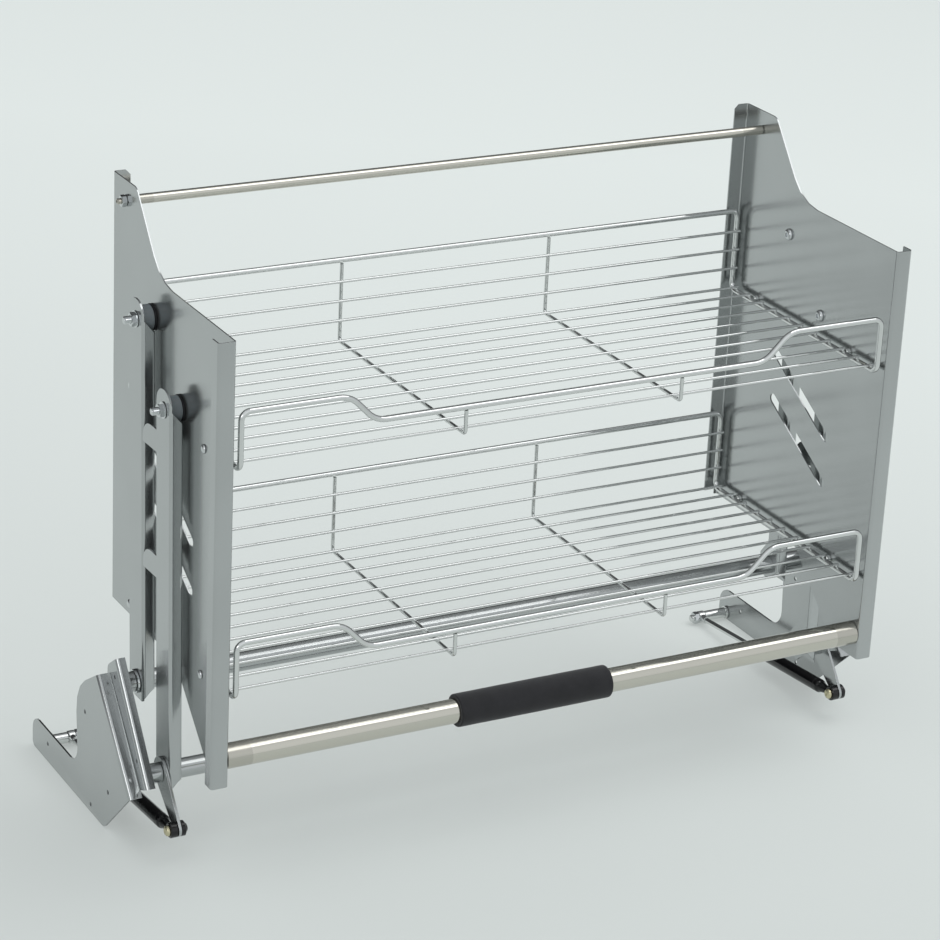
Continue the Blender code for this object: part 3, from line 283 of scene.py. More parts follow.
def silver_enamel(look):
    """Sprayed silver enamel on bent sheet steel: satin, with fine metal flake and soft spray bands."""
    material, tree, sockets, place = surface(
        "silver_enamel_on_sheet", look.paint, {"Metallic": 0.93, "Coat Weight": 0.1})
    # Flake is about 0.1 mm across; it is drawn at 1.2 mm, the finest grain that the picture shows.
    flake = add(tree, "ShaderNodeTexNoise", {"Vector": place, "Scale": 1 / (1.2 * MM), "Detail": 1})
    # Spray passes leave bands some 80 mm wide, which count twice as much as the flake.
    cloud = add(tree, "ShaderNodeTexNoise", {"Vector": place, "Scale": 1 / (80 * MM), "Detail": 1})
    both = add(tree, "ShaderNodeMath", {0: cloud, 1: 2, 2: flake}, operation="MULTIPLY_ADD")
    share = add(tree, "ShaderNodeMath", {0: both, 1: 3}, operation="DIVIDE")
    toned(tree, sockets, share, look.paint, 0.9, 1.1)
    add(tree, "ShaderNodeMapRange", {"Value": cloud, "To Min": 0.15, "To Max": 0.23}, {0: sockets["Roughness"]})
    return material


def chrome_plate(look):
    """Nickel-chrome plate on drawn wire: a mirror whose gloss varies a little over some 12 mm."""
    return patchy("chrome_plate_on_wire", look.chrome, {"Metallic": 1}, size=12, gloss=(0.02, 0.07), full=0.75)[0]


def polished_stainless(look):
    """Stainless tube polished round its axis: warm, with fine rings across it and duller bands at its ends."""
    material, tree, sockets, place = surface("polished_stainless_tube", look.steel, {"Metallic": 1})
    # Polishing rings lie some 0.4 mm apart; they are drawn 1.5 mm apart and stretched round the tube.
    rings = add(tree, "ShaderNodeMapping", {"Vector": place, "Scale": (1 / (1.5 * MM), 12, 12)})
    grain = add(tree, "ShaderNodeTexNoise", {"Vector": rings, "Scale": 1, "Detail": 3})
    # Rubbed marks are 3 mm wide and run along the tube for a hand's width.
    rub = add(tree, "ShaderNodeMapping", {"Vector": place, "Scale": (14, 1 / (3 * MM), 1 / (3 * MM))})
    streak = add(tree, "ShaderNodeTexNoise", {"Vector": rub, "Scale": 1, "Detail": 2})
    # The duller bands begin at a soft line, 1.2 mm wide.
    start = PANEL - bpy.context.scene.rack_tubes.band
    across = add(tree, "ShaderNodeSeparateXYZ", {"Vector": place})
    away = add(tree, "ShaderNodeMath", {0: across.outputs["X"]}, operation="ABSOLUTE")
    band = add(tree, "ShaderNodeMapRange", {
        "Value": away, "From Min": start - 0.6 * MM, "From Max": start + 0.6 * MM})
    worn = add(tree, "ShaderNodeMath", {0: grain, 1: streak}, operation="ADD")
    gloss = add(tree, "ShaderNodeMapRange", {
        "Value": worn, "From Min": 0.5, "From Max": 1.5, "To Min": 0.05, "To Max": 0.11})
    add(tree, "ShaderNodeMath", {0: band, 1: 0.14, 2: gloss},
        {0: sockets["Roughness"]}, operation="MULTIPLY_ADD")
    toned(tree, sockets, band, look.steel, 1, 0.86)
    add(tree, "ShaderNodeBump", {"Strength": 0.04, "Distance": 0.02 * MM, "Height": grain},
        {0: sockets["Normal"]})
    return material


def bright_zinc(look):
    """Bright zinc on cold-formed steel: pale, a little blue, blotched every 3 mm and softer than chrome."""
    return patchy("bright_zinc_plate", look.zinc, {"Metallic": 1}, size=3, detail=3, tones=(0.86, 1.08),
                  gloss=(0.03, 0.12))[0]


def yellow_zinc(look):
    """Yellow passivated zinc on the pin heads: brassy, with greener and paler patches some 2 mm wide."""
    return patchy("yellow_zinc_plate", look.brass, {"Metallic": 1, "Roughness": 0.3}, size=2,
                  tones=(0.8, 1.15))[0]


def black_enamel(look):
    """Baked black enamel on drawn tube: deep and glossy, with slight waves where it ran, some 6 mm long."""
    values = {"Specular IOR Level": 0.35, "Coat Weight": 0.3}
    material, tree, sockets, wave = patchy("baked_black_enamel", look.enamel, values, size=6, gloss=(0.1, 0.2))
    add(tree, "ShaderNodeBump", {"Strength": 0.1, "Distance": 0.05 * MM, "Height": wave}, {0: sockets["Normal"]})
    return material


def cell_foam(look):
    """Closed-cell rubber foam: nearly black, matt, pitted by cut cells whose pits are painted darker as painted
    shade, with a dusty sheen.
    """
    material, tree, sockets, place = surface("closed_cell_foam", look.foam, {
        "Roughness": 0.82, "Sheen Weight": 0.25, "Sheen Roughness": 0.5, "Specular IOR Level": 0.35})
    # Cells are 0.3 to 0.5 mm across; they are drawn at 1 mm so that the picture shows them.
    cells = add(tree, "ShaderNodeTexVoronoi", {"Vector": place, "Scale": 1 / (1 * MM)})
    # Handling leaves paler rubbed patches some 15 mm wide.
    rubbed = add(tree, "ShaderNodeTexNoise", {"Vector": place, "Scale": 1 / (15 * MM), "Detail": 3})
    # The cells' pits are painted darker, painted shade in the hollows; the rubbed patches make the foam paler in
    # places.
    both = add(tree, "ShaderNodeMath", {0: cells.outputs["Distance"], 1: 0.4, 2: rubbed},
               operation="MULTIPLY_ADD")
    share = add(tree, "ShaderNodeMapRange", {"Value": both, "From Min": 0.4})
    toned(tree, sockets, share, look.foam, 0.75, 1.35)
    add(tree, "ShaderNodeBump", {"Strength": 0.45, "Distance": 0.25 * MM, "Height": cells.outputs["Distance"]},
        {0: sockets["Normal"]})
    return material


def moulded_nylon(look):
    """Moulded grey nylon: smooth and slightly waxy, with faint flow marks some 4 mm wide."""
    values = {"Roughness": 0.42, "IOR": 1.53, "Subsurface Weight": 0.05}
    return patchy("moulded_grey_nylon", look.nylon, values, size=4, tones=(0.92, 1.06))[0]


def ring_rubber(look):
    """Moulded black rubber: matt, with a dusty grain drawn at 0.8 mm."""
    return patchy("moulded_black_rubber", look.rubber, {"IOR": 1.52}, size=0.8, gloss=(0.5, 0.72))[0]


RECIPES = {
    "paint": silver_enamel, "chrome": chrome_plate, "steel": polished_stainless, "zinc": bright_zinc,
    "brass": yellow_zinc, "enamel": black_enamel, "foam": cell_foam, "nylon": moulded_nylon,
    "rubber": ring_rubber,
}
FINISHES = {}


def finish_of(name):
    """Gives a finish by its short name, made when it is first asked for."""
    if name not in FINISHES:
        FINISHES[name] = RECIPES[name](bpy.context.scene.rack_finish)
    return FINISHES[name]


# Shape helpers
def ring_points(centre, way, radius, sides):
    """Gives the corners of a regular polygon, square to a direction."""
    helper = Vector((0, 0, 1)) if abs(way.z) < 0.9 else Vector((0, 1, 0))
    side = way.cross(helper).normalized()
    up = side.cross(way).normalized()
    angles = [math.tau * index / sides for index in range(sides)]
    return [centre + side * (radius * math.cos(a)) + up * (radius * math.sin(a)) for a in angles]


def stitch(bm, first, second):
    """Joins two rings, or a ring and a pole, with faces."""
    count = max(len(first), len(second))
    for index in range(count):
        following = (index + 1) % count
        if len(first) == 1:
            bm.faces.new((first[0], second[index], second[following]))
        elif len(second) == 1:
            bm.faces.new((first[index], second[0], first[following]))
        else:
            bm.faces.new((first[index], second[index], second[following], first[following]))


def turned(origin, profile, sides=40, way=ACROSS, looped=False):
    """Turns a profile about an axis through the origin given; a looped profile is a ring's section."""
    bm = bmesh.new()
    rings = []
    for distance, radius in profile:
        centre = origin + way * (distance * MM)
        corners = ring_points(centre, way, radius * MM, sides) if radius > 0 else [centre]
        rings.append([bm.verts.new(corner) for corner in corners])
    for first, second in zip(rings, rings[1:]):
        stitch(bm, first, second)
    if looped:
        stitch(bm, rings[-1], rings[0])
    else:
        for ring in (rings[0], rings[-1]):
            if len(ring) > 1:
                bm.faces.new(ring)
    return closed(bm)


def mesh_of(bm, name="shape"):
    """Gives a bmesh's faces as a mesh."""
    mesh = bpy.data.meshes.new(name)
    bm.to_mesh(mesh)
    bm.free()
    return mesh


def closed(bm):
    """Closes a bmesh into a mesh whose faces point out."""
    bmesh.ops.remove_doubles(bm, verts=bm.verts[:], dist=MM / 1000)
    bmesh.ops.recalc_face_normals(bm, faces=bm.faces[:])
    return mesh_of(bm)


def merged(*meshes):
    """Joins plain meshes into one."""
    bm = bmesh.new()
    for mesh in meshes:
        bm.from_mesh(mesh)
    return mesh_of(bm)


def tube(place, node, radius, bore, edge, sides=48):
    """Makes a tube as long as a node, with broken edges; its radii and edge are in millimetres."""
    run = width(node)
    section = [
        (0, bore + edge), (0, radius - edge), (edge, radius), (run - edge, radius),
        (run, radius - edge), (run, bore + edge), (run - edge, bore), (edge, bore),
    ]
    return turned(start_of(node, place), section, sides, looped=True)


def thread(start, end, radius, pitch, depth):
    """Gives the crests and roots of a thread between two distances, all in millimetres."""
    turns = max(1, round((end - start) / pitch))
    step = (end - start) / turns
    points = []
    for index in range(turns):
        points += [(start + step * (index + 0.1), radius - depth), (start + step * (index + 0.6), radius)]
    return points + [(end, radius - depth)]


def hex_nut(origin, height, corner, bore, sides=48):
    """Makes a six-sided nut along X, sized in millimetres, whose corners run out in a 30 degree chamfer."""
    bm = bmesh.new()
    flat = corner * math.cos(math.pi / 6)
    rim = flat * 0.97
    rings = [[], [], [], []]
    for index in range(sides):
        turn = (math.tau * index / sides) % (math.pi / 3) - math.pi / 6
        radius = flat / math.cos(turn)
        fall = (radius - rim) * math.tan(math.pi / 6)
        profile = ((0, rim), (fall, radius), (height - fall, radius), (height, rim))
        for ring, (distance, reach) in zip(rings, profile):
            corners = ring_points(origin + ACROSS * (distance * MM), ACROSS, reach * MM, sides)
            ring.append(bm.verts.new(corners[index]))
    for distance in (height, 0):
        corners = ring_points(origin + ACROSS * (distance * MM), ACROSS, bore * MM, sides)
        rings.append([bm.verts.new(point) for point in corners])
    for first, second in zip(rings, rings[1:] + rings[:1]):
        stitch(bm, first, second)
    return closed(bm)


def holder_of(name, data):
    """Links an object that holds a mesh, a lamp or a lens."""
    item = bpy.data.objects.new(name, data)
    bpy.context.scene.collection.objects.link(item)
    return item


def piece(name, mesh, finish, body, *nodes, crease=35):
    """Makes a finished piece: smooth with creases, painted, riding on its body for the nodes it stands for."""
    mesh.name = name
    mesh.materials.clear()
    mesh.materials.append(finish_of(finish))
    if crease:
        mesh.shade_smooth()
        mesh.set_sharp_from_angle(angle=math.radians(crease))
    item = holder_of(name, mesh)
    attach(item, body)
    if nodes:
        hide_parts(*nodes)
    return item


def baked(holder):
    """Gives an object's evaluated shape as a plain mesh and removes the object."""
    bpy.context.view_layer.update()
    seen = holder.evaluated_get(bpy.context.evaluated_depsgraph_get())
    mesh = bpy.data.meshes.new_from_object(seen)
    bpy.data.objects.remove(holder)
    return mesh


def cleaned(mesh):
    """Takes out the slivers that a cut or a bevel leaves."""
    bm = bmesh.new()
    bm.from_mesh(mesh)
    bmesh.ops.dissolve_degenerate(bm, edges=bm.edges[:], dist=MM / 50)
    return mesh_of(bm)


def cut(mesh, tool):
    """Cuts a mesh with a second closed mesh."""
    base = holder_of("base", mesh)
    other = holder_of("tool", tool)
    modifier = base.modifiers.new("cut", "BOOLEAN")
    modifier.solver = "EXACT"
    modifier.object = other
    facets = base.modifiers.new("facets", "TRIANGULATE")
    facets.min_vertices = 5
    result = cleaned(baked(base))
    bpy.data.objects.remove(other)
    return result


def soft_edged(node, edge, steps):
    """Copies a sheet from the frame, merges its triangles and breaks its cut edges."""
    bm = bmesh.new()
    bm.from_mesh(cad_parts[node].data)
    bmesh.ops.remove_doubles(bm, verts=bm.verts[:], dist=MM / 200)
    bmesh.ops.dissolve_limit(bm, angle_limit=math.radians(0.6), verts=bm.verts[:], edges=bm.edges[:])
    for layer in list(bm.loops.layers.uv):
        bm.loops.layers.uv.remove(layer)
    holder = holder_of(node, mesh_of(bm))
    bevel = holder.modifiers.new("edge", "BEVEL")
    bevel.width = edge
    bevel.segments = steps
    bevel.limit_method = "ANGLE"
    bevel.angle_limit = math.radians(30)
    mesh = cleaned(baked(holder))
    mesh.shade_smooth()
    holder = holder_of(node, mesh)
    weigh = holder.modifiers.new("normals", "WEIGHTED_NORMAL")
    weigh.weight = 100
    return baked(holder)


def sheets(context, bodies):
    """Makes each bent sheet on both sides; bodies gives the body that each kind of sheet rides on."""
    sheet = context.scene.rack_sheet
    for label in SIDES:
        for kind, body in bodies.items():
            node = f"{kind}_{label}"
            mesh = soft_edged(node, sheet.edge, sheet.edge_steps)
            piece(f"{node}_sheet", mesh, "paint", body, node, crease=0)


# Shape trees
def shape_tree(name, inputs):
    """Starts a tree that paints what it makes; inputs gives each further one a default or a socket's kind."""
    tree = bpy.data.node_groups.new(name, "GeometryNodeTree")
    for label, value in {"Geometry": "Geometry", **inputs, "Material": "Material"}.items():
        kind = value if isinstance(value, str) else "Int" if isinstance(value, int) else "Float"
        socket = tree.interface.new_socket(label, in_out="INPUT", socket_type=f"NodeSocket{kind}")
        if kind != value:
            socket.default_value = value
    tree.interface.new_socket("Geometry", in_out="OUTPUT", socket_type="NodeSocketGeometry")
    return tree, add(tree, "NodeGroupInput").outputs


def end_tree(tree, shape, given):
    """Ends a tree: real geometry, painted."""
    real = add(tree, "GeometryNodeRealizeInstances", {"Geometry": shape})
    painted = add(tree, "GeometryNodeSetMaterial", {"Geometry": real, "Material": given["Material"]})
    add(tree, "NodeGroupOutput", {"Geometry": painted})
    return tree


def round_wire(tree, curve, given):
    """Gives a round wire along a curve."""
    section = add(tree, "GeometryNodeCurvePrimitiveCircle", {
        "Resolution": given["Sides"], "Radius": given["Radius"]})
    return add(tree, "GeometryNodeCurveToMesh", {"Curve": curve, "Profile Curve": section, "Fill Caps": True})


def wire_row_tree():
    """A row of straight wires across the rack, each with a rounded section."""
    tree, given = shape_tree("wire_row", {
        "Count": 11, "First": "Vector", "Step": "Vector", "Half length": 0.36, "Radius": 0.0015, "Sides": 12})
    back = add(tree, "ShaderNodeMath", {0: given["Half length"], 1: -1}, operation="MULTIPLY")
    start = add(tree, "ShaderNodeCombineXYZ", {"X": back})
    end = add(tree, "ShaderNodeCombineXYZ", {"X": given["Half length"]})
    line = add(tree, "GeometryNodeCurvePrimitiveLine", {"Start": start, "End": end})
    wire = round_wire(tree, line, given)
    row = add(tree, "GeometryNodeMeshLine", {
        "Count": given["Count"], "Start Location": given["First"], "Offset": given["Step"]})
    copies = add(tree, "GeometryNodeInstanceOnPoints", {"Points": row, "Instance": wire})
    return end_tree(tree, copies, given)


def bent_wire_tree():
    """A wire bent along a path of corners; each corner's attribute gives its bend radius."""
    tree, given = shape_tree("bent_wire", {"Radius": 0.003, "Sides": 16, "Bend steps": 10})
    path = add(tree, "GeometryNodeMeshToCurve", {"Mesh": given["Geometry"]})
    bend = add(tree, "GeometryNodeInputNamedAttribute", {"Name": "bend"}, data_type="FLOAT")
    bent = add(tree, "GeometryNodeFilletCurve", {
        "Curve": path, "Count": given["Bend steps"], "Radius": bend,
        "Limit Radius": True}, mode="POLY")
    return end_tree(tree, round_wire(tree, bent, given), given)


def weld_tree():
    """A flattened bead of metal at each point, where two wires are welded."""
    tree, given = shape_tree("welds", {"Radius": 0.002, "Flatness": 0.75})
    bead = add(tree, "GeometryNodeMeshIcoSphere", {"Radius": given["Radius"], "Subdivisions": 3})
    flat = add(tree, "ShaderNodeCombineXYZ", {"X": 1.3, "Y": 1.1, "Z": given["Flatness"]})
    turn = add(tree, "FunctionNodeRandomValue", {2: 0.85, 3: 1.1, "Seed": 4}, data_type="FLOAT")
    size = add(tree, "ShaderNodeVectorMath", {0: flat, "Scale": turn.outputs[1]}, operation="SCALE")
    copies = add(tree, "GeometryNodeInstanceOnPoints", {
        "Points": given["Geometry"], "Instance": bead, "Scale": size})
    return end_tree(tree, copies, given)


def fastener_tree():
    """One fastener at each point; the point's attributes turn it about Z and spin it about its own axis."""
    tree, given = shape_tree("fasteners", {"Fastener": "Object"})
    shape = add(tree, "GeometryNodeObjectInfo", {"Object": given["Fastener"]}, transform_space="ORIGINAL")
    turn = add(tree, "GeometryNodeInputNamedAttribute", {"Name": "turn"}, data_type="FLOAT")
    spin = add(tree, "GeometryNodeInputNamedAttribute", {"Name": "spin"}, data_type="FLOAT")
    angles = add(tree, "ShaderNodeCombineXYZ", {"X": spin, "Z": turn})
    copies = add(tree, "GeometryNodeInstanceOnPoints", {
        "Points": given["Geometry"], "Instance": shape.outputs["Geometry"], "Rotation": angles})
    return end_tree(tree, copies, given)


def grown(tree, base, finish, values):
    """Runs a tree on a mesh and gives the result as a plain mesh with a finish."""
    values["Material"] = finish_of(finish)
    holder = holder_of("grown", base)
    modifier = holder.modifiers.new("grow", "NODES")
    modifier.node_group = tree
    for item in tree.interface.items_tree:
        if item.item_type == "SOCKET" and item.in_out == "INPUT" and item.name in values:
            modifier[item.identifier] = values[item.name]
    return baked(holder)


def points_mesh(points, attributes=None, edges=()):
    """Makes a mesh of bare points, with named numbers on them."""
    mesh = bpy.data.meshes.new("points")
    mesh.from_pydata(list(points), list(edges), [])
    for name, values in (attributes or {}).items():
        layer = mesh.attributes.new(name, "FLOAT", "POINT")
        layer.data.foreach_set("value", values)
    return mesh


def fasteners_at(nodes, prototype, finish, spin=0, step=0):
    """Repeats a prototype, made along +X from the origin, at its nodes; each is turned a step further."""
    source = holder_of("prototype", prototype)
    sides = [1 if node.endswith("right") else -1 for node in nodes]
    places = [start_of(node, middle(node), side) for node, side in zip(nodes, sides)]
    points = points_mesh(places, {
        "turn": [0 if side > 0 else math.pi for side in sides],
        "spin": [spin + step * index for index in range(len(nodes))],
    })
    mesh = grown(fastener_tree(), points, finish, {"Fastener": source})
    bpy.data.objects.remove(source)
    return mesh


# Operators
class RACK_OT_wall_brackets(Operator):
    """Makes the wall brackets and the pivot plates, with their pressed dimples"""

    bl_idname = "rack.wall_brackets"
    bl_label = "Wall brackets"

    def execute(self, context):
        sheets(context, {"bracket": "brackets", "pivot_plate": "brackets"})
        return {"FINISHED"}


class RACK_OT_swing_arms(Operator):
    """Makes the four channel arms and the two crank levers"""

    bl_idname = "rack.swing_arms"
    bl_label = "Swing arms and levers"

    def execute(self, context):
        sheets(context, {"front_arm": "front_arms", "rear_arm": "rear_arms", "crank_lever": "front_arms"})
        return {"FINISHED"}


class RACK_OT_side_panels(Operator):
    """Makes the two side panels"""

    bl_idname = "rack.side_panels"
    bl_label = "Side panels"

    def execute(self, context):
        sheets(context, {"side_panel": "carrier"})
        return {"FINISHED"}


class RACK_OT_cross_tubes(Operator):
    """Makes the two painted cross tubes and the clip washers"""

    bl_idname = "rack.cross_tubes"
    bl_label = "Cross tubes"

    def execute(self, context):
        tubes = in_mm(context.scene.rack_tubes)
        for node, body in (("front_cross_tube", "front_arms"), ("rear_cross_tube", "rear_arms")):
            shape = tube(middle(node), node, tubes.cross, tubes.cross - tubes.wall, edge=0.4)
            piece(f"{node}_painted", shape, "paint", body, node)
        for label in SIDES:
            node = f"pivot_washer_{label}"
            shape = tube(middle("rear_cross_tube"), node, tubes.washer, tubes.cross + 0.3, edge=0.5)
            piece(f"clip_washer_{label}", shape, "zinc", "rear_arms", node)
        return {"FINISHED"}


class RACK_OT_gas_springs(Operator):
    """Makes the gas springs with their rods, studs, pins and caps"""

    bl_idname = "rack.gas_springs"
    bl_label = "Gas springs"

    def execute(self, context):
        hardware = in_mm(context.scene.rack_hardware)
        for label, side in SIDES.items():
            self.cylinder(hardware, label)
            self.rod(hardware, label)
            self.stud(hardware, label, side)
            self.pin_and_cap(label)
        return {"FINISHED"}

    def cylinder(self, hardware, label):
        """Turns a cylinder with its eye, neck, gland, seam and rolled lower end, from the eye down."""
        node = f"gas_cylinder_{label}"
        rod = f"gas_rod_{label}"
        wide = hardware.cylinder
        gland = 20.9
        roll = 138
        profile = [
            (5, 4.6), (gland - 6, 4.6), (gland - 5, 5.2), (gland - 1, 5.6), (gland, 6), (gland + 0.8, wide - 0.9),
            (gland + 1.8, wide - 0.2), (gland + 3, wide), (gland + 6, wide), (gland + 6.4, wide - 0.3),
            (gland + 8.2, wide - 0.3), (gland + 8.6, wide), (roll, wide), (roll + 2.6, wide - 0.4),
            (roll + 4, wide - 1.5), (roll + 4.2, 6), (roll + 11, 6), (roll + 12, 5.2), (roll + 12, 3.3),
            (roll + 8, 3.3),
        ]
        body = turned(crossed(SPRING_TIP, middle(rod).x), profile, way=-SPRING_SPAN.normalized())
        eye = tube(SPRING_TIP, rod, hardware.eye, hardware.eye_bore, edge=0.9, sides=40)
        piece(f"spring_cylinder_{label}", merged(body, eye), "enamel", node, node)

    def rod(self, hardware, label):
        """Turns a rod with its eye and a small collar; it ends inside the cylinder."""
        node = f"gas_rod_{label}"
        thin = hardware.gas_rod
        reach = SPRING_SPAN.length / MM - 136
        profile = [(reach, 0), (reach, thin), (13, thin), (13, 4.2), (7, 4.6), (5, 4.6)]
        shaft = turned(crossed(SPRING_FOOT, middle(node).x), profile, sides=32, way=SPRING_SPAN.normalized())
        eye = tube(SPRING_FOOT, node, hardware.eye - 1, hardware.eye_bore, edge=0.8, sides=40)
        piece(f"spring_rod_{label}", merged(shaft, eye), "chrome", node, node)

    def stud(self, hardware, label, side):
        """Turns the stud from the bracket inwards, to its threaded tail, and makes the nut that holds the eye."""
        node = f"spring_stud_{label}"
        nut = f"spring_nut_{label}"
        wall = ends(node, side)[1]
        run = width(node)
        shoulder = abs(ends(f"gas_rod_{label}", side)[1] - wall) / MM - 0.3
        tail = abs(ends(nut, side)[0] - wall) / MM
        profile = [
            (0, 0), (0, 7), (0.5, 7.5), (2, 7.5), (2.4, 6), (shoulder - 0.5, 6), (shoulder, 5.5), (shoulder, 4),
            (tail, 4), *thread(tail + 0.1, run - 0.3, 3.9, hardware.pitch, hardware.crest),
            (run, 2.8), (run, 0),
        ]
        shape = turned(crossed(SPRING_FOOT, wall), profile, sides=32, way=ACROSS * -side)
        piece(f"stud_{label}", shape, "chrome", "brackets", node)
        shape = hex_nut(start_of(nut, SPRING_FOOT), width(nut), hardware.nut, 4.1)
        piece(f"stud_nut_{label}", shape, "zinc", "brackets", nut)

    def pin_and_cap(self, label):
        """Turns the pin's domed head with its centre dimple, and the cap behind the lever."""
        node = f"spring_pin_{label}"
        run = width(node)
        profile = [
            (0.9, 0), (0.7, 1), (0.1, 1.7), (0, 2.4), (0.5, 3.9), (1.3, 5), (2.2, 5.5), (3.8, 5.5), (4, 5.3),
            (4, 4), (run, 4), (run, 0),
        ]
        shape = turned(start_of(node, SPRING_TIP), profile)
        piece(f"pin_head_{label}", shape, "brass", f"gas_cylinder_{label}", node)
        node = f"spring_cap_{label}"
        run = width(node)
        profile = [
            (0, 0), (0, 3.6), (0.3, 4), (3, 4), (3, 7.6), (3.4, 8), (run - 3.4, 8), (run - 2.7, 7.2),
            (run - 2.5, 4.6), (run - 0.6, 4.4), (run, 3.6), (run, 0),
        ]
        piece(f"pin_cap_{label}", turned(start_of(node, SPRING_TIP), profile), "enamel", "front_arms", node)


class RACK_OT_pivots(Operator):
    """Makes the upper pivots: bushings with rubber rings, bolts and flanged nuts"""

    bl_idname = "rack.pivots"
    bl_label = "Upper pivots"

    def execute(self, context):
        hardware = in_mm(context.scene.rack_hardware)
        self.bushings(hardware)
        self.bolts(hardware)
        self.nuts(hardware)
        return {"FINISHED"}

    def nodes(self, kind):
        """Names the four nodes of a kind, one for each pivot."""
        return [f"{kind}_{row}_{label}" for row in ROWS for label in SIDES]

    def bushings(self, hardware):
        """Turns a stepped bushing and the rubber ring between it and the panel."""
        nodes = self.nodes("bushing")
        run = width(nodes[0])
        wide = hardware.bushing
        bore = hardware.bolt + 0.4
        body = [
            (2.2, bore), (2.2, wide - 0.8), (2.7, wide), (run - 0.5, wide), (run, wide - 0.5), (run, bore),
        ]
        shape = turned(ORIGIN, body, sides=48, looped=True)
        piece("pivot_bushings", fasteners_at(nodes, shape, "nylon"), "nylon", "carrier", *nodes)
        ring = [
            (0, bore), (0, wide - 1), (0.6, wide + 0.4), (1.5, wide + 0.4), (2.1, wide - 0.6), (2.1, bore),
        ]
        shape = turned(ORIGIN, ring, sides=48, looped=True)
        piece("pivot_rubber_rings", fasteners_at(nodes, shape, "rubber"), "rubber", "carrier")

    def bolts(self, hardware):
        """Turns a button-head bolt with a hexagon socket and a threaded tail."""
        nodes = self.nodes("pivot_bolt")
        run = width(nodes[0])
        head = 3.5
        tail = run - 8
        wide = hardware.bolt_head
        thin = hardware.bolt
        profile = [
            (0, 0), (0, wide * 0.55), (0.3, wide * 0.72), (1.2, wide * 0.9), (2.4, wide), (head, wide),
            (head, thin), (tail, thin), *thread(tail, run - 0.6, thin, hardware.pitch, hardware.crest),
            (run, thin - 1), (run, 0),
        ]
        socket = [(-1, 2.6), (2, 2.6)]
        shape = cut(turned(ORIGIN, profile, sides=32), turned(ORIGIN, socket, sides=6))
        piece("pivot_bolts", fasteners_at(nodes, shape, "zinc", spin=0.3, step=1), "zinc", "carrier", *nodes)

    def nuts(self, hardware):
        """Makes a flanged nut: a hexagon on a dished flange, sunk a little into it."""
        nodes = self.nodes("pivot_nut")
        rise = 1.3
        sunk = rise * 0.6
        wide = hardware.flange
        bore = hardware.bolt + 0.2
        hexagon = hex_nut(ACROSS * (sunk * MM), width(nodes[0]) - sunk, hardware.nut, bore - 0.1)
        dish = [(0, bore), (0, wide - 0.3), (0.3, wide), (0.8, wide), (rise, wide - 1.6), (rise, bore)]
        shape = merged(hexagon, turned(ORIGIN, dish, looped=True))
        piece("pivot_nuts", fasteners_at(nodes, shape, "zinc", spin=0.35, step=1.3), "zinc", "carrier", *nodes)


class RACK_OT_top_rod(Operator):
    """Makes the top rod with threaded ends and its two nuts"""

    bl_idname = "rack.top_rod"
    bl_label = "Top rod"

    def execute(self, context):
        tubes = in_mm(context.scene.rack_tubes)
        hardware = in_mm(context.scene.rack_hardware)
        place = crossed(middle("top_rod"))
        end = ends("top_rod")[1] / MM
        shoulder = PANEL / MM
        wide = tubes.rod
        neck = tubes.neck
        fine = 0.8
        half = [
            (0, wide), (shoulder - 0.8, wide), (shoulder, wide - 0.8), (shoulder, neck),
            *thread(shoulder + 1, end - 0.4, neck, hardware.pitch * fine, hardware.crest * fine),
            (end, neck - 0.8), (end, 1.4), (end - 1.6, 1.4), (end - 1.6, 0),
        ]
        profile = [(-distance, radius) for distance, radius in half[:0:-1]] + half[1:]
        piece("top_rod_polished", turned(place, profile), "steel", "carrier", "top_rod")
        nuts = [f"rod_nut_{label}" for label in SIDES]
        shapes = [hex_nut(start_of(nut, place), width(nut), 6.2, neck + 0.1) for nut in nuts]
        piece("top_rod_nuts", merged(*shapes), "zinc", "carrier", *nuts)
        return {"FINISHED"}


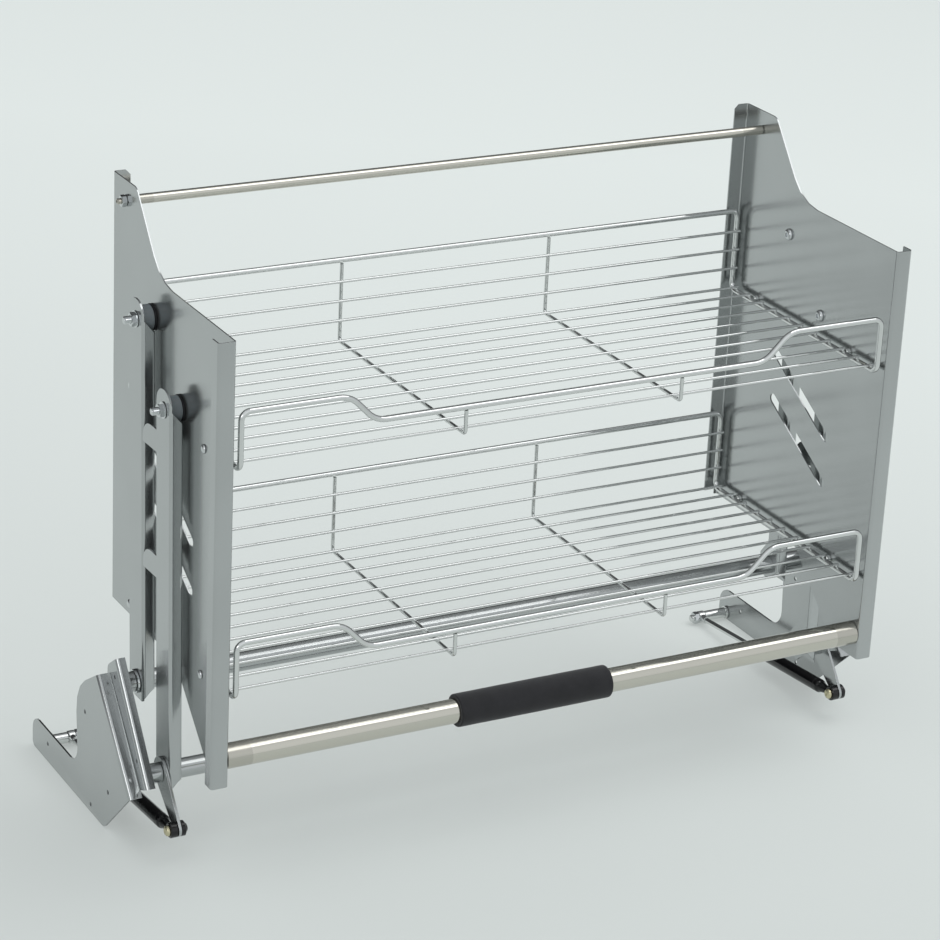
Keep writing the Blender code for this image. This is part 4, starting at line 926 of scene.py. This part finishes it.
class RACK_OT_handle(Operator):
    """Makes the handle tube, its end fixings and the foam grip"""

    bl_idname = "rack.handle"
    bl_label = "Handle and grip"

    def execute(self, context):
        tubes = in_mm(context.scene.rack_tubes)
        place = crossed(middle("handle_tube"))
        wide = tubes.handle
        shape = tube(place, "handle_tube", wide, wide - tubes.wall, edge=0.5, sides=64)
        piece("handle_tube_polished", shape, "steel", "carrier", "handle_tube")
        plugs = [f"handle_plug_{label}" for label in SIDES]
        shapes = [self.plug(place, plug, side) for plug, side in zip(plugs, SIDES.values())]
        piece("handle_fixings", merged(*shapes), "zinc", "carrier", *plugs)
        self.grip(tubes, place)
        return {"FINISHED"}

    def plug(self, place, node, side):
        """Turns a plug from inside the tube outwards: its body, neck and screw head with a hexagon socket."""
        root = start_of(node, place, side)
        run = width(node)
        panel = (PANEL - abs(root.x)) / MM
        neck = run - 3
        profile = [
            (0, 0), (0, 10.2), (0.6, 10.8), (panel, 10.8), (panel, 3), (neck, 3), (neck, 5.8), (neck + 0.6, 6),
            (neck + 2, 5), (run, 3.4), (run, 0),
        ]
        socket = [(run - 1.6, 2), (run + 1, 2)]
        way = ACROSS * side
        return cut(turned(root, profile, way=way), turned(root, socket, sides=6, way=way))

    def grip(self, tubes, place):
        """Turns the foam sleeve: softly rounded ends, a slight swell and pinches from being pushed on."""
        run = width("handle_grip")
        edge = tubes.grip_edge
        wide = tubes.grip
        bore = tubes.handle + 0.35
        steps = 6
        angles = [math.pi / 2 * index / steps for index in range(steps + 1)]
        rounded = [(edge * (1 - math.cos(a)), wide - edge * (1 - math.sin(a))) for a in angles]
        profile = [(0, bore), *rounded]
        count = 40
        for index in range(1, count):
            share = index / count
            swell = 0.18 * math.sin(math.pi * share)
            ripple = 0.07 * math.sin(37 * share) * math.sin(11 * share + 1)
            profile.append((edge + (run - 2 * edge) * share, wide + swell + ripple))
        profile += [(run - distance, radius) for distance, radius in reversed(rounded)]
        profile.append((run, bore))
        shape = turned(start_of("handle_grip", place), profile, sides=64, looped=True)
        grip = piece("foam_grip", shape, "foam", "carrier", "handle_grip", crease=50)


class RACK_OT_baskets(Operator):
    """Makes the two baskets: bent rims, supports, thin wires, welds and screw lugs"""

    bl_idname = "rack.baskets"
    bl_label = "Wire baskets"

    def execute(self, context):
        sizes = context.scene.rack_basket
        bent = bent_wire_tree()
        row = wire_row_tree()
        weld = weld_tree()
        for basket, floor in zip(BASKETS, (sizes.floor_low, sizes.floor_high)):
            rim = grown(bent, self.rim(sizes, floor), "chrome", {
                "Radius": sizes.rail, "Sides": 20, "Bend steps": 12})
            rim = merged(rim, self.lugs(sizes, basket))
            node = f"basket_rim_{basket}"
            piece(f"{node}_chromed", rim, "chrome", "carrier", node, crease=40)
            crossings = points_mesh(self.crossings(sizes, floor))
            beads = grown(weld, crossings, "chrome", {"Radius": sizes.weld})
            mat = merged(*self.wires(sizes, floor, row, bent), beads)
            node = f"basket_wires_{basket}"
            piece(f"{node}_chromed", mat, "chrome", "carrier", node, crease=40)
        return {"FINISHED"}

    def rim(self, sizes, floor):
        """Gives the rim's corners with their bend radii, closed into a loop."""
        front = sizes.back_y - sizes.depth
        raised = floor + sizes.front_height
        half = (
            (sizes.end_x, sizes.back_y, floor + sizes.back_height, sizes.corner),
            (sizes.end_x, sizes.back_y, floor, sizes.corner),
            (sizes.end_x, front, floor, sizes.corner),
            (sizes.end_x, front, raised, sizes.corner),
            (sizes.dip_start, front, raised, sizes.dip),
            (sizes.dip_end, front, floor + sizes.low_height, sizes.dip),
        )
        loop = [*half, *((-x, y, z, bend) for x, y, z, bend in reversed(half))]
        edges = [(index, (index + 1) % len(loop)) for index in range(len(loop))]
        return points_mesh([corner[:3] for corner in loop], {"bend": [corner[3] for corner in loop]}, edges)

    def lugs(self, sizes, basket):
        """Turns the four threaded lugs, from the floor rails out to the panels."""
        start = sizes.end_x + sizes.tail + sizes.gap
        run = (PANEL - start) / MM
        bore = 2.3
        profile = [
            (0, 0), (0, 4.6), (0.4, 5), (run - 0.5, 5), (run, 4.5), (run, bore), (run - 4, bore), (run - 4, 0),
        ]
        shapes = []
        for row in ROWS:
            for label, side in SIDES.items():
                place = middle(f"basket_screw_{basket}_{row}_{label}")
                shapes.append(turned(crossed(place, side * start), profile, sides=28, way=ACROSS * side))
        return merged(*shapes)

    def wires(self, sizes, floor, row, bent):
        """Lays the floor's and the back's thin wires and bends the two supports."""
        lift = sizes.rail + sizes.wire + sizes.gap
        reach = sizes.end_x + sizes.tail
        rows = (
            (sizes.floor_wires, (0, sizes.back_y - sizes.floor_start, floor + lift), (0, -sizes.floor_pitch, 0)),
            (sizes.wall_wires, (0, sizes.back_y - lift, floor + sizes.wall_start), (0, 0, sizes.wall_pitch)),
        )
        straight = [grown(row, points_mesh([]), "chrome", {
            "Count": count, "First": first, "Step": step, "Half length": reach, "Radius": sizes.wire,
            "Sides": 12}) for count, first, step in rows]
        supports = [grown(bent, self.support(sizes, floor, side * sizes.support_x), "chrome", {
            "Radius": sizes.support, "Sides": 16, "Bend steps": 8}) for side in SIDES.values()]
        return straight + supports

    def support(self, sizes, floor, x):
        """Gives a support's corners with their bend radii: down behind, forward under the floor, up in front."""
        drop = sizes.rail - sizes.support + 1 * MM
        inset = sizes.rail + sizes.gap
        back = sizes.back_y - drop
        front = sizes.back_y - sizes.depth
        path = (
            (x, back, floor + sizes.back_height - inset), (x, back, floor + drop),
            (x, front, floor + drop), (x, front, floor + sizes.low_height - inset),
        )
        bends = (0, sizes.corner / 2, sizes.corner / 2, 0)
        return points_mesh(path, {"bend": bends}, ((0, 1), (1, 2), (2, 3)))

    def crossings(self, sizes, floor):
        """Gives the places where wires cross and are welded."""
        half = sizes.rail + sizes.gap + sizes.wire * 0.2
        points = []
        for x in (-sizes.end_x, -sizes.support_x, sizes.support_x, sizes.end_x):
            for index in range(sizes.floor_wires):
                y = sizes.back_y - sizes.floor_start - sizes.floor_pitch * index
                points.append((x, y, floor + half))
            for index in range(sizes.wall_wires):
                points.append((x, sizes.back_y - half, floor + sizes.wall_start + sizes.wall_pitch * index))
        return points


class RACK_OT_basket_screws(Operator):
    """Makes the eight pan-head screws that hold the baskets"""

    bl_idname = "rack.basket_screws"
    bl_label = "Basket screws"

    def execute(self, context):
        hardware = in_mm(context.scene.rack_hardware)
        nodes = [f"basket_screw_{basket}_{row}_{label}"
                 for basket in BASKETS for row in ROWS for label in SIDES]
        run = width(nodes[0])
        head = hardware.screw_rise
        start = run - head
        wide = hardware.screw_head
        profile = [
            (0, 0), (0, 1.4), *thread(0.3, start - 0.2, 2, pitch=0.8, depth=0.35), (start, 2),
            (start, wide - 0.3), (start + 0.3, wide), (start + head * 0.5, wide * 0.93),
            (start + head * 0.85, wide * 0.68), (run, wide * 0.36), (run, 0),
        ]
        shape = cut(turned(ORIGIN, profile, sides=32), self.recess(start + head * 0.42))
        shape = fasteners_at(nodes, shape, "zinc", spin=0.5, step=0.9)
        piece("basket_screws", shape, "zinc", "carrier", *nodes)
        return {"FINISHED"}

    def recess(self, start):
        """Makes the two crossed bars that the driver's recess is cut with."""
        bm = bmesh.new()
        long, narrow, deep = 5.2, 0.9, 3
        place = Matrix.Translation(ACROSS * ((start + deep / 2) * MM))
        for size in ((deep, narrow, long), (deep, long, narrow)):
            bmesh.ops.create_cube(bm, size=MM, matrix=place @ Matrix.Diagonal((*size, 1)))
        return closed(bm)


class RACK_OT_studio(Operator):
    """Makes the pale floor, the soft lights and the camera"""

    bl_idname = "rack.studio"
    bl_label = "Studio"

    def execute(self, context):
        scene = context.scene
        scene.view_settings.view_transform = "Standard"
        self.floor(scene)
        self.room(scene)
        self.lamps(scene.rack_studio)
        self.camera(scene)
        return {"FINISHED"}

    def floor(self, scene):
        """Lays a round sheet of pale paper, far wider than the view."""
        tint = scene.rack_finish.floor
        bm = bmesh.new()
        rim = ring_points(Vector((0, 0, -0.5 * MM)), Vector((0, 0, 1)), radius=9, sides=96)
        bm.faces.new([bm.verts.new(point) for point in rim])
        mesh = mesh_of(bm, "studio_floor")
        material, tree, sockets, place = surface("matt_backdrop_paper", tint, {
            "Roughness": 0.9, "Specular IOR Level": 0.1})
        # The paper is painted a little greyer in front on the left and paler far off and to the right, a painted
        # fall-off of light, and it drifts in tone over a metre.
        away = add(tree, "ShaderNodeVectorMath", {0: place, 1: (0.8, 1, 0)}, operation="DOT_PRODUCT")
        drift = add(tree, "ShaderNodeTexNoise", {"Vector": place, "Scale": 0.9, "Detail": 1})
        # Painted fall-off of light: the paper's colour is darker in front and to the left, paler far behind and to
        # the right.
        depth = add(tree, "ShaderNodeMapRange", {"Value": away.outputs["Value"], "From Min": -0.6, "From Max": 3})
        drift_and_painted_falloff = add(tree, "ShaderNodeMath", {0: drift, 1: 0.15, 2: depth}, operation="MULTIPLY_ADD")
        base = add(tree, "ShaderNodeMix", {0: drift_and_painted_falloff, 6: shaded(tint, 0.86), 7: shaded(tint, 1.09)},
                   {2: sockets["Emission Color"]}, data_type="RGBA")
        add(tree, "ShaderNodeMix", {0: 0.5, 6: (0, 0, 0, 1), 7: base.outputs[2]},
            {2: sockets["Base Color"]}, data_type="RGBA")
        # The camera and every mirror see the paper as pale as it is; the light on the rack doesn't come from it.
        ray = add(tree, "ShaderNodeLightPath")
        seen = add(tree, "ShaderNodeMath", {
            0: ray.outputs["Is Camera Ray"], 1: ray.outputs["Is Glossy Ray"]}, operation="ADD")
        pale = add(tree, "ShaderNodeMath", {0: seen, 1: ray.outputs["Is Transmission Ray"]}, operation="ADD")
        add(tree, "ShaderNodeMath", {0: pale, 1: 0.5}, {0: sockets["Emission Strength"]},
            operation="MULTIPLY", use_clamp=True)
        mesh.materials.append(material)
        holder_of("studio_floor", mesh)

    def room(self, scene):
        """Lights the room softly: brightest in front and above, dim high behind."""
        world = bpy.data.worlds.new("studio_room")
        scene.world = world
        world.use_nodes = True
        tree = world.node_tree
        tree.nodes.clear()
        way = add(tree, "ShaderNodeTexCoord").outputs["Generated"]
        lean = add(tree, "ShaderNodeVectorMath", {0: way, 1: (0, -1.3, 0.6)}, operation="DOT_PRODUCT")
        share = add(tree, "ShaderNodeMath", {0: lean.outputs["Value"], 1: 1}, operation="ADD")
        least = add(tree, "ShaderNodeMath", {0: share, 1: 0.12}, operation="MAXIMUM")
        level = add(tree, "ShaderNodeMath", {0: least, 1: scene.rack_studio.room}, operation="MULTIPLY")
        light = add(tree, "ShaderNodeBackground", {"Color": (*linear("F2F6F8"), 1), "Strength": level})
        add(tree, "ShaderNodeOutputWorld", {"Surface": light})

    def lamps(self, studio):
        """Hangs the key softbox, a small one at the left, and a broad ceiling light that metal doesn't mirror."""
        for name, watts, place, aim, size, mirrored in (
                ("key_softbox", studio.key, (1.3, -0.66, 2.8), (1.3, -0.66, 0), (2.05, 1.7), True),
                ("side_softbox", studio.side, (-2.4, -1.4, 1.5), (0, 0, 0.3), (0.9, 0.9), True),
                ("ceiling_light", studio.top, (0.4, 1.2, 3.6), (0.4, 1.2, 0), (8, 8), False)):
            lamp = bpy.data.lights.new(name, "AREA")
            lamp.shape = "RECTANGLE"
            lamp.size, lamp.size_y = size
            lamp.energy = watts
            item = holder_of(name, lamp)
            item.location = place
            item.rotation_euler = (Vector(place) - Vector(aim)).to_track_quat("Z", "X").to_euler()
            item.visible_glossy = mirrored

    def camera(self, scene):
        """Stands the camera where the photograph was taken from."""
        lens = bpy.data.cameras.new("camera")
        lens.lens = 123.08
        lens.sensor_width = 36
        lens.clip_end = 100
        item = holder_of("camera", lens)
        way = Vector((0.4511, 0.8077, -0.3796)).normalized()
        up = Vector((0.1411, 0.3554, 0.924))
        right = way.cross(up).normalized()
        up = right.cross(way)
        turn = Matrix((right, up, -way)).transposed().to_4x4()
        item.matrix_world = Matrix.Translation((-1.5233, -2.6968, 1.5884)) @ turn
        scene.camera = item


class RACK_PT_rack(Panel):
    """Lists the rack's pieces and sizes"""

    bl_idname = "RACK_PT_rack"
    bl_label = "Dish rack"
    bl_space_type = "VIEW_3D"
    bl_region_type = "UI"
    bl_category = "Dish rack"

    def draw(self, context):
        for operator in OPERATORS:
            self.layout.operator(operator.bl_idname)
        for name, group in GROUPS.items():
            box = self.layout.box()
            box.label(text=name.replace("_", " "))
            for key in group.__annotations__:
                box.prop(getattr(context.scene, name), key)


GROUPS = {
    "rack_finish": RackFinish, "rack_sheet": RackSheet, "rack_basket": RackBasket,
    "rack_hardware": RackHardware, "rack_tubes": RackTubes, "rack_studio": RackStudio,
}
OPERATORS = (
    RACK_OT_studio, RACK_OT_wall_brackets, RACK_OT_swing_arms, RACK_OT_side_panels, RACK_OT_cross_tubes,
    RACK_OT_gas_springs, RACK_OT_pivots, RACK_OT_top_rod, RACK_OT_handle, RACK_OT_baskets,
    RACK_OT_basket_screws,
)
CLASSES = (*GROUPS.values(), *OPERATORS, RACK_PT_rack)


def register():
    """Registers the classes and hangs the settings on the scene."""
    for item in CLASSES:
        bpy.utils.register_class(item)
    for name, group in GROUPS.items():
        setattr(bpy.types.Scene, name, PointerProperty(type=group))


def unregister():
    """Takes the settings and the classes away again."""
    for name in GROUPS:
        delattr(bpy.types.Scene, name)
    for item in reversed(CLASSES):
        bpy.utils.unregister_class(item)


def main():
    """Registers the add-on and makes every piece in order."""
    register()
    for operator in OPERATORS:
        getattr(bpy.ops.rack, operator.bl_idname.split(".")[1])()


if __name__ == "__main__":
    main()
